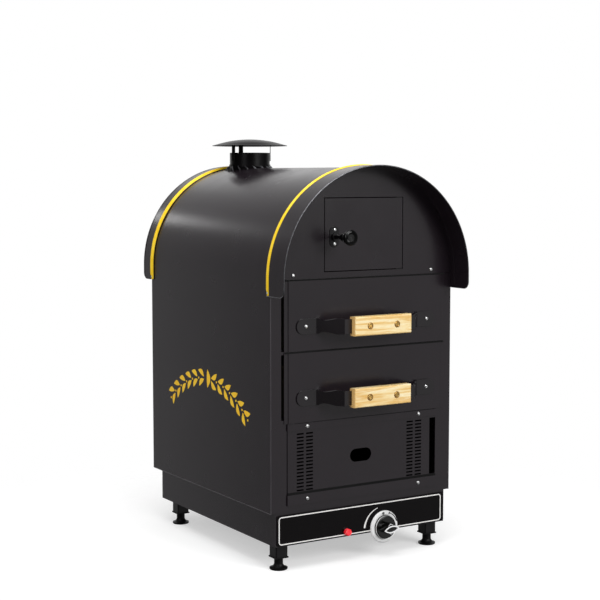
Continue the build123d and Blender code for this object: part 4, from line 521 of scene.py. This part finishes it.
# ---------------------------------------------------------------- yellow strips
low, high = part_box("trim_strips")
STRIP_BASE = high.x - 5.0 * MM      # radius of the strips' flat backs
STRIP_FOOT = low.z
STRIP_HALF = 6.0 * MM               # half a strip's width
STRIP_SWELL = 6.1 * MM              # radius of its round top
STRIP_SUNK = 1.1 * MM               # centre of that radius below the flat back
STRIP_LINES = {"front": low.y + STRIP_HALF, "rear": high.y - STRIP_HALF}
STRIP_SCREW = 2.4 * MM
STRIP_SCREW_SEAT = 2.9 * MM         # above the flat back
STRIP_SCREW_RISE = 6.8 * MM         # above the foot
# height above the foot, width and height there: the ends are rounded and pressed flat
STRIP_END = ((0, 0.3, 0.3), (0.8, 0.62, 0.5), (2.2, 0.85, 0.56), (4.5, 1.0, 0.58),
             (9.5, 1.0, 0.6), (12.5, 1.0, 0.95), (14.0, 1.0, 1.0))


def yellow_strip(y):
    """Half-round strip over the roof, with pressed flat and rounded ends."""
    angles = [math.radians(a) for a in range(-80, 81, 20)]
    section = [(STRIP_SWELL * math.sin(a), STRIP_SWELL * math.cos(a) - STRIP_SUNK) for a in angles]
    left, right = (
        [(Vector((side * STRIP_BASE, y, STRIP_FOOT + z * MM)), Vector((0, width, 0)),
          Vector((side * height, 0, 0))) for z, width, height in STRIP_END]
        for side in (-1, 1))
    roof = [(place, Vector((0, 1, 0)), out) for place, out in over_roof(STRIP_BASE, y, 72)]
    return lambda shape: sweep(shape, section, left + roof + right[::-1])


for end, y in STRIP_LINES.items():
    made = piece(f"{end}_yellow_strip", yellow_strip(y), finishes["trim_yellow"],
                 "case")
    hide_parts("trim_strips")
for word, side in SIDES.items():
    ends = [(side * (STRIP_BASE + STRIP_SCREW_SEAT), y, STRIP_FOOT + STRIP_SCREW_RISE)
            for y in STRIP_LINES.values()]
    heads(f"{word}_strip_screws", ends, (side, 0, 0), STRIP_SCREW, "case", "screws")

# ---------------------------------------------------------------- printed marks
INK = 0.15 * MM
FILM = [(-0.5, 0.0), (-0.5, INK), (0.5, INK), (0.5, 0.0)]


def on_front(x, z, y):
    """Place on a plane that faces the front; x and z in millimetres."""
    return Vector((x * MM, y, z * MM))


def ring_stations(centre, y, radii, widths, first, last, steps):
    """Stations of a printed arc between two headings in degrees. Its radius and width, in
    millimetres, drift from their first values to their last."""
    stations = []
    for i in range(steps + 1):
        t = i / steps
        angle = math.radians(first + (last - first) * t)
        across = Vector((math.cos(angle), 0, math.sin(angle)))
        radius = radii[0] + (radii[1] - radii[0]) * t
        width = widths[0] + (widths[1] - widths[0]) * t
        stations.append((on_front(*centre, y) + across * radius * MM, across * width * MM, OUTWARD))
    return stations


PANEL_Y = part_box("control_panel")[0].y
# frame line on the panel, in millimetres
LINE = {"left": -219.0, "right": 217.0, "bottom": 61.8, "top": 121.6, "corner": 6.0, "width": 2.4}


def panel_line(shape):
    """Rounded white frame line, a little inside the panel's edge."""
    corner, width = LINE["corner"], LINE["width"]
    left, right = LINE["left"] + corner, LINE["right"] - corner
    bottom, top = LINE["bottom"] + corner, LINE["top"] - corner
    stations = []
    corners = ((right, top, 0), (left, top, 90), (left, bottom, 180), (right, bottom, 270))
    for x, z, first in corners:
        stations += ring_stations(
            (x, z), PANEL_Y, (corner, corner), (width, width), first, first + 90, 8)
    sweep(shape, FILM, stations, closed=True)


piece("control_panel_line", panel_line, ink_white, "case")

bezel_low, bezel_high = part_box("dial_bezel")
BEZEL_Y = bezel_low.y
DIAL_X = (bezel_low.x + bezel_high.x) / 2 / MM
DIAL_Z = (bezel_low.z + bezel_high.z) / 2 / MM
# printed arcs: first and last radius, first and last width, two headings and steps
HEAT_MARK = (51.6, 47.2), (4.6, 1.2), 177.0, 110.0, 32
NOUGHT = (1.9, 1.9), (2.4, 2.4), 0, 345, 23
TAPER = (33.2, 34.0), (1.4, 2.6), 64.0, 16.0, 16
NOUGHT_X, NOUGHT_Z = -4.0, 31.4     # from the dial's middle
# the pointer wedge: place across and up from the dial's middle, and width there
WEDGE = ((13.6, 32.8, 0.3), (12.9, 30.4, 5.4), (12.7, 28.6, 5.8))


def dial_crescent(shape):
    """Printed heat mark round the dial: broad at the hot end, fading to a thin tip."""
    sweep(shape, FILM, ring_stations((DIAL_X, DIAL_Z), PANEL_Y, *HEAT_MARK))


def bezel_marks(shape):
    """Plain nought, pointer wedge and tapering line on the dial's ring."""
    nought = (DIAL_X + NOUGHT_X, DIAL_Z + NOUGHT_Z)
    sweep(shape, FILM, ring_stations(nought, BEZEL_Y, *NOUGHT), closed=True)
    wedge = [(on_front(DIAL_X + x, DIAL_Z + z, BEZEL_Y), Vector((width * MM, 0, 0)), OUTWARD)
             for x, z, width in WEDGE]
    sweep(shape, FILM, wedge)
    sweep(shape, FILM, ring_stations((DIAL_X, DIAL_Z), BEZEL_Y, *TAPER))


piece("dial_heat_crescent", dial_crescent, ink_white, "case")
piece("dial_ring_marks", bezel_marks, ink_black, "case")

RIDGE_BEHIND = 3.0 * MM             # the line's plane, behind the back of the dial's trim
RIDGE_TILT = math.radians(5.0)
RIDGE_INSET, RIDGE_WIDTH = 0.6, 1.2
# corners: reach from the dial's middle (mm), heading (degrees) and mitre of the line
RIDGE_CORNERS = ((19.4, 0.0, 1.84), (12.5, 90.0, 1.19), (19.4, 180.0, 1.84), (12.5, 270.0, 1.19))


def ridge_lines(shape):
    """Silver line round the front of the dial's thumb ridges."""
    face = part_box("dial_trim")[1].y + RIDGE_BEHIND
    stations = []
    for reach, heading, mitre in RIDGE_CORNERS:
        angle = math.radians(heading) + RIDGE_TILT
        away = Vector((math.cos(angle), 0, math.sin(angle)))
        place = on_front(DIAL_X, DIAL_Z, face) + away * (reach - RIDGE_INSET * mitre) * MM
        stations.append((place, away * mitre * RIDGE_WIDTH * MM, OUTWARD))
    sweep(shape, FILM, stations, closed=True)


piece("dial_ridge_line", ridge_lines, finishes["chrome_trim"], "dial")

SKIRT = 26.0                        # radius of the dial's skirt, in millimetres
SKIRT_FRONT = 5.5 * MM              # in front of the bezel
# beyond the skirt's radius and in front of its edge, in millimetres
SKIRT_RING = ((0.06, -3.6), (0.12, -1.8), (-0.3, -0.3), (-1.0, 0.18), (-1.7, 0.12), (-1.9, -0.3))


def skirt_ring(shape):
    """Turned bright ring round the edge of the dial's skirt."""
    lathe(shape, [((SKIRT + r) * MM, h * MM) for r, h in SKIRT_RING],
          on_front(DIAL_X, DIAL_Z, BEZEL_Y - SKIRT_FRONT), OUTWARD, 64)


piece("dial_skirt_ring", skirt_ring, finishes["bezel"], "dial")

# ---------------------------------------------------------------- leaf frieze on the sides
# middle of the arch and its radius (mm), and half its angle (degrees)
FRIEZE = {"y": 16.0, "z": 100.0, "radius": 292.0, "half_angle": 38.0}
CUT = 0.25 * MM                     # thickness of the vinyl
VINYL = [(-0.5, 0.0), (-0.5, CUT), (0.5, CUT), (0.5, 0.0)]
LEAF_PAIRS = 6
FIRST_PAIR = 0.95                   # from the lozenge to the first pair, as a share of the pitch
LEAF, LOZENGE = (30, 12.5), (42, 17)        # length and width, in millimetres
LEAF_RISE, LEAF_LEAN = 11, 0.55     # off the arch in millimetres, and radians away from it
LEAF_BELLY, LEAF_TIP, LEAF_BOW = 0.85, 0.03, 0.12
BERRY = 2.6 * MM
BERRY_BEYOND = math.radians(2.6)    # past its pair of leaves


def leaf(shape, side, middle, heading, length, width):
    """Pointed leaf of cut vinyl on one side of the case; middle is (y, z), in millimetres."""
    along = Vector((0, math.cos(heading), math.sin(heading)))
    across = Vector((0, -along.z, along.y))
    start = Vector((side * SIDE, middle[0] * MM, middle[1] * MM)) - along * length / 2 * MM
    stations = []
    for i in range(13):
        t = i / 12
        girth = max(math.sin(math.pi * t) ** LEAF_BELLY, LEAF_TIP)
        bow = LEAF_BOW * length * math.sin(math.pi * t)
        place = start + (along * length * t + across * bow) * MM
        stations.append((place, across * girth * width * MM, Vector((side, 0, 0))))
    sweep(shape, VINYL, stations)


def frieze(side):
    """Arched frieze: a lozenge on top, then pairs of leaves with a berry between down each arm."""
    def on_arc(angle, radius):
        return (FRIEZE["y"] + radius * math.sin(angle), FRIEZE["z"] + radius * math.cos(angle))

    def build(shape):
        for end in (-1, 1):
            for k in range(LEAF_PAIRS):
                angle = end * math.radians(FRIEZE["half_angle"]) * (k + FIRST_PAIR) / LEAF_PAIRS
                tangent = -angle if end > 0 else math.pi - angle
                for turn in (1, -1):
                    middle = on_arc(angle, FRIEZE["radius"] + LEAF_RISE * turn)
                    leaf(shape, side, middle, tangent + LEAF_LEAN * turn * end, *LEAF)
                y, z = on_arc(angle + end * BERRY_BEYOND, FRIEZE["radius"])
                lathe(shape, [(BERRY, 0), (BERRY, CUT), (0, CUT)],
                      Vector((side * SIDE, y * MM, z * MM)), (side, 0, 0), 20)
        leaf(shape, side, on_arc(0, FRIEZE["radius"]), math.pi / 2, *LOZENGE)
    return build


for word, side in SIDES.items():
    piece(f"{word}_side_leaf_frieze", frieze(side), vinyl_gold, "case")

# ---------------------------------------------------------------- edges, laps and seams: painted highlights and shade
visor_low, visor_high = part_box("front_visor")
LAP_RADIUS = visor_high.x - 2.0 * MM - 0.05 * MM    # just clear of a visor's inner face
LAP_FOOT = visor_low.z + 4 * MM
LAP_OUT = 6.2 * MM                  # middle of a lap, beyond the case
# section of a lap: along the case's depth, and inward
LAP = [(-6 * MM, 0.0), (-6 * MM, 0.7 * MM), (-5.4 * MM, 1.3 * MM), (6 * MM, 1.3 * MM),
       (6 * MM, 0.0)]
EDGE_ROLL = 1.1 * MM                # radius of the visor's edge roll and of the folds' painted highlight lines
ROLL_RADIUS = visor_high.x - 1.3 * MM
ROLL_BACK = FRONT + 10 * MM         # where the roll ends, behind the case's front
VISOR_CORNER = 16 * MM
FOLD_INSET = 0.3 * MM
FOLD_REAR, FOLD_TOP = REAR - 2 * MM, visor_low.z - 1 * MM   # where the folds' painted highlight lines end


def visor_lap(y, facing):
    """Folded lap along a visor's inner face: up one leg, over the arch and down the other."""
    section = [(a * facing, b) for a, b in LAP]
    left, right = (
        [(Vector((side * LAP_RADIUS, y, LAP_FOOT)), Vector((0, 1, 0)), Vector((-side, 0, 0)))]
        for side in (-1, 1))
    roof = [(place, Vector((0, 1, 0)), -out) for place, out in over_roof(LAP_RADIUS, y, 60)]
    return lambda shape: sweep(shape, section, left + roof + right)


for name, y, facing in (("front_visor", FRONT - LAP_OUT, 1), ("rear_visor", REAR + LAP_OUT, -1)):
    piece(f"{name}_lap", visor_lap(y, facing), finishes["black_sheet"], "case")


def visor_edge(shape):
    """Round roll along the front visor's edge and under its rounded ends, in pale bare metal: a
    painted highlight line.
    """
    ends = {}
    for side in (-1, 1):
        out = Vector((side, 0, 0))
        middle = Vector((
            side * ROLL_RADIUS, visor_low.y + VISOR_CORNER, visor_low.z + VISOR_CORNER))
        ends[side] = [(Vector((side * ROLL_RADIUS, ROLL_BACK, visor_low.z)), out, -UP)]
        for i in range(9):
            angle = math.radians(270 - 90 * i / 8)
            away = Vector((0, math.cos(angle), math.sin(angle)))
            ends[side].append((middle + away * VISOR_CORNER, out, away))
    roof = [(place, out, OUTWARD) for place, out in over_roof(ROLL_RADIUS, visor_low.y, 60)]
    sweep(shape, bead(EDGE_ROLL, 45), ends[-1] + roof + ends[1][::-1])


piece("front_visor_edge_roll", visor_edge, worn_edge, "case")


def case_edges(shape):
    """Painted highlight lines on the folds of the case: the lower edge of each side and the two
    front corners.
    """
    fold = bead(EDGE_ROLL, 60)
    y, z = FRONT + FOLD_INSET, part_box("body_skin")[0].z + FOLD_INSET
    for side in (-1, 1):
        x = side * (SIDE - FOLD_INSET)
        bar(shape, fold, ((x, y, z), (x, FOLD_REAR, z)), (1, 0, 0), (0, 0, 1))
        bar(shape, fold, ((x, y, z), (x, y, FOLD_TOP)), (1, 0, 0), (0, 1, 0))


piece("case_highlight_folds", case_edges, rubbed_black, "case")

GLIDE_RISE = 5.0 * MM
GLIDE = [(0, 0), (0, 0.75 * GLIDE_RISE), (0.2 * MM, GLIDE_RISE), (0.6 * MM, GLIDE_RISE),
         (0.9 * MM, 0.7 * GLIDE_RISE), (0.9 * MM, 0)]
GLIDE_FRONT = 0.15 * MM             # in front of the vent cover's face
GLIDE_FOOT = 23 * MM + 0.05 * MM    # just clear of the lower rail's top edge
GLIDE_SHORT = 1 * MM                # at each end of the rail
CORD_RADIUS, CORD_FLAT = 1.5 * MM, 0.45
CORD_SHORT = 2 * MM                 # at each end of the drawer front


def rail_glide(shape):
    """Round-topped near-black strip along the lower rail's edge: painted shade of the seam between
    the rail and the vent cover.
    """
    y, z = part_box("vent_cover")[0].y - GLIDE_FRONT, rail_low.z + GLIDE_FOOT
    ends = [(x, y, z) for x in (rail_low.x + GLIDE_SHORT, rail_high.x - GLIDE_SHORT)]
    bar(shape, GLIDE, ends, (0, -1, 0), (0, 0, 1))


piece("lower_rail_seam_shade", rail_glide, felt, "case")


def seam_cord(level):
    """Near-black cord along a drawer front's top edge: painted shade of the seam above it."""
    low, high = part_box(f"{level}_drawer_front")
    ends = [(x, low.y, high.z - CORD_RADIUS) for x in (low.x + CORD_SHORT, high.x - CORD_SHORT)]
    half_round = bead(CORD_RADIUS, 30, 181, CORD_FLAT)
    return lambda shape: bar(shape, half_round, ends, (0, 0, 1), (0, -1, 0))


for level in ("upper", "lower"):
    piece(f"{level}_seam_cord", seam_cord(level), felt, f"{level}_drawer")

# ---------------------------------------------------------------- chimney collar
FLUTES = 17
FLUTE_START = math.radians(-125.2)  # middle of the first flute
FLUTE_SLANT = 0.3                   # radians from a flute's top to its foot
FLUTE_TOP = ROOF + 6.5 * MM
FLUTE_RADIUS, FLUTE_FLARE = 51.2 * MM, 12.0 * MM    # at its top, and how far its foot stands out
FLUTE_DROP, FLUTE_LIFT, FLUTE_WIDTH = 16.0 * MM, 2.0 * MM, 5.0 * MM
FLUTE = [(-0.5, -0.6), (-0.3, 0.7), (0, 1), (0.3, 0.7), (0.5, -0.6)]


def collar_flutes(shape):
    """Slanted crimps pressed round the chimney's collar, which stiffen its flare; their pale metal
    gives painted glints on the dark collar.
    """
    low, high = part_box("chimney_collar")
    axis = Vector(((low.x + high.x) / 2, (low.y + high.y) / 2, 0))
    for k in range(FLUTES):
        start = FLUTE_START - FLUTE_SLANT / 2 + 2 * math.pi * k / FLUTES
        stations = []
        for i in range(7):
            t = i / 6
            angle = start + FLUTE_SLANT * t
            away = Vector((math.cos(angle), math.sin(angle), 0))
            out = Vector((away.x, away.y, 0.8)).normalized()
            place = axis + away * (FLUTE_RADIUS + FLUTE_FLARE * t)
            place.z = FLUTE_TOP - FLUTE_DROP * t
            swell = math.sin(math.pi * t)
            stations.append((place, Vector((-away.y, away.x, 0)) * FLUTE_WIDTH * max(swell, 0.1),
                             out * FLUTE_LIFT * max(swell, 0.15)))
        sweep(shape, FLUTE, stations)


piece("chimney_collar_flutes", collar_flutes, worn_edge, "case")

# ---------------------------------------------------------------- rear panel
REAR_SCREW = 3.6 * MM
REAR_SCREW_X = SIDE - 1.5 * MM - 8 * MM     # in the middle of the panel's folded edge
REAR_SCREW_ARC = 0.9645 * SIDE              # the same round the arch
rear_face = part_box("rear_panel")[1].y
rear_screws = [(side * REAR_SCREW_X, rear_face, z)
               for z in (165 * MM, 330 * MM, 495 * MM, ARCH_Z) for side in (-1, 1)]
rear_screws += [(REAR_SCREW_ARC * math.cos(a), rear_face, ARCH_Z + REAR_SCREW_ARC * math.sin(a))
                for a in (math.radians(d) for d in (36, 72, 108, 144))]
heads("rear_panel_screws", rear_screws, (0, 1, 0), REAR_SCREW, "case", "screws")

# ---------------------------------------------------------------- studio
FLOOR_Z = -0.2 * MM
FLOOR_REACH, FLOOR_SIDES = 1.6, 48


def floor_disc(shape):
    """Round sheet of paper under the feet."""
    angles = [2 * math.pi * i / FLOOR_SIDES for i in range(FLOOR_SIDES)]
    rings = [[shape.verts.new((r * math.cos(a), r * math.sin(a), FLOOR_Z)) for a in angles]
             for r in (0.5 * FLOOR_REACH, FLOOR_REACH)]
    shape.faces.new(rings[0])
    skin_over(shape, *rings)


# sheet of matt white paper, which blends into the white room towards its rim; the eye gets a soft
# shadow on a bright ground without an edge
paper, tree, place = start_finish("white_paper_floor")
outward = add(tree, "ShaderNodeVectorMath", {0: place}, operation="LENGTH").outputs["Value"]
rim = add(tree, "ShaderNodeMapRange", {"Value": outward, "From Min": 0.42, "From Max": 1.0},
          interpolation_type="SMOOTHSTEP")
sheet = add(tree, "ShaderNodeBsdfDiffuse", {"Color": colour("#D0D0D0")})
glow = add(tree, "ShaderNodeEmission", {"Color": colour("#FFFFFF"), "Strength": 0.48})
path = add(tree, "ShaderNodeLightPath")
lift = add(tree, "ShaderNodeMixShader", {0: path.outputs["Is Camera Ray"], 2: glow})
bright = add(tree, "ShaderNodeAddShader", {0: sheet, 1: lift})
# reflections look through the paper into the room
fade = add(tree, "ShaderNodeMath", {0: rim, 1: path.outputs["Is Glossy Ray"]}, operation="MAXIMUM")
clear = add(tree, "ShaderNodeBsdfTransparent")
ground = add(tree, "ShaderNodeMixShader", {0: fade, 1: bright, 2: clear})
add(tree, "ShaderNodeOutputMaterial", {"Surface": ground})
piece("studio_floor", floor_disc, paper, None)

BACKDROP_HEADING = (0.524, 0.852, 0.0)
CARD_HEADING = (0.604, -0.773, -0.19)

world = bpy.data.worlds.new("studio")
bpy.context.scene.world = world
world.use_nodes = True
tree = world.node_tree
tree.nodes.clear()
path = add(tree, "ShaderNodeLightPath")
heading = add(tree, "ShaderNodeTexCoord").outputs["Generated"]
# the white backdrop stands behind the oven; the room to its left and in front is dim
toward = add(tree, "ShaderNodeVectorMath", {0: heading, 1: BACKDROP_HEADING},
             operation="DOT_PRODUCT").outputs["Value"]
backdrop = add(tree, "ShaderNodeMapRange", {
    "Value": toward, "From Min": 0.4, "From Max": 0.86, "To Min": 0.07, "To Max": 0.95})
# the room is a little darker towards its ceiling
height = add(tree, "ShaderNodeSeparateXYZ", {"Vector": heading}).outputs["Z"]
falloff = add(tree, "ShaderNodeMapRange", {
    "Value": height, "From Min": 0.34, "From Max": 0.62, "To Min": 1.0, "To Max": 0.68})
wall = add(tree, "ShaderNodeMath", {0: backdrop, 1: falloff}, operation="MULTIPLY")
# a grey card in front, to the right, is what the flat front shows
facing = add(tree, "ShaderNodeVectorMath", {0: heading, 1: CARD_HEADING},
             operation="DOT_PRODUCT").outputs["Value"]
card = add(tree, "ShaderNodeMapRange", {
    "Value": facing, "From Min": 0.86, "From Max": 0.99, "To Min": 0.0, "To Max": 0.46})
room = add(tree, "ShaderNodeMath", {0: wall, 1: card}, operation="ADD")
# reflections see the room, matt surfaces an even dim light, and the camera plain white
mirrored = add(tree, "ShaderNodeMath", {
    0: path.outputs["Is Glossy Ray"], 1: path.outputs["Is Transmission Ray"]}, operation="MAXIMUM")
ambient = add(tree, "ShaderNodeMix", {0: mirrored, 2: 0.4, 3: room}, data_type="FLOAT")
strength = add(tree, "ShaderNodeMix", {0: path.outputs["Is Camera Ray"], 2: ambient, 3: 1.0},
               data_type="FLOAT")
sky = add(tree, "ShaderNodeBackground", {"Color": colour("#FFFFFF"), "Strength": strength})
add(tree, "ShaderNodeOutputWorld", {"Surface": sky})


def softbox(name, place, aim, width, height, watts):
    """Rectangular soft light that looks at a point."""
    lamp = bpy.data.lights.new(name, "AREA")
    lamp.shape, lamp.size, lamp.size_y, lamp.energy = "RECTANGLE", width, height, watts
    made = bpy.data.objects.new(name, lamp)
    made.location = place
    made.rotation_euler = (Vector(aim) - Vector(place)).to_track_quat("-Z", "Y").to_euler()
    bpy.context.scene.collection.objects.link(made)


# broad light from above, left and front; two small ones behind draw the streak along the roof
softbox("overhead_softbox", (-0.4, -0.4, 2.7), (0, 0, 0.6), 1.8, 2.4, 54)
softbox("left_softbox", (-2.6, -1.2, 1.7), (0, 0, 0.5), 1.2, 1.6, 14)
softbox("front_softbox", (0.9, -3.2, 1.9), (0, 0, 0.5), 1.6, 1.2, 60)
softbox("rear_strip_light", (-0.62, 1.96, 1.39), (-0.2, 0.25, 0.74), 0.3, 0.15, 0.78)
softbox("backdrop_light", (0.9, 2.6, 2.0), (0, 0, 0.86), 1.6, 0.5, 1.0)

# long lens, from the front left at the height of the roof
camera = bpy.data.cameras.new("camera")
camera.lens, camera.sensor_width = 83.43, 36.0
viewer = bpy.data.objects.new("camera", camera)
viewer.location = (-1.72915, -2.8097, 0.8605)
viewer.rotation_euler = (math.radians(84.87), 0, math.radians(-31.63))
bpy.context.scene.collection.objects.link(viewer)
bpy.context.scene.camera = viewer
bpy.context.scene.view_settings.view_transform = "Standard"
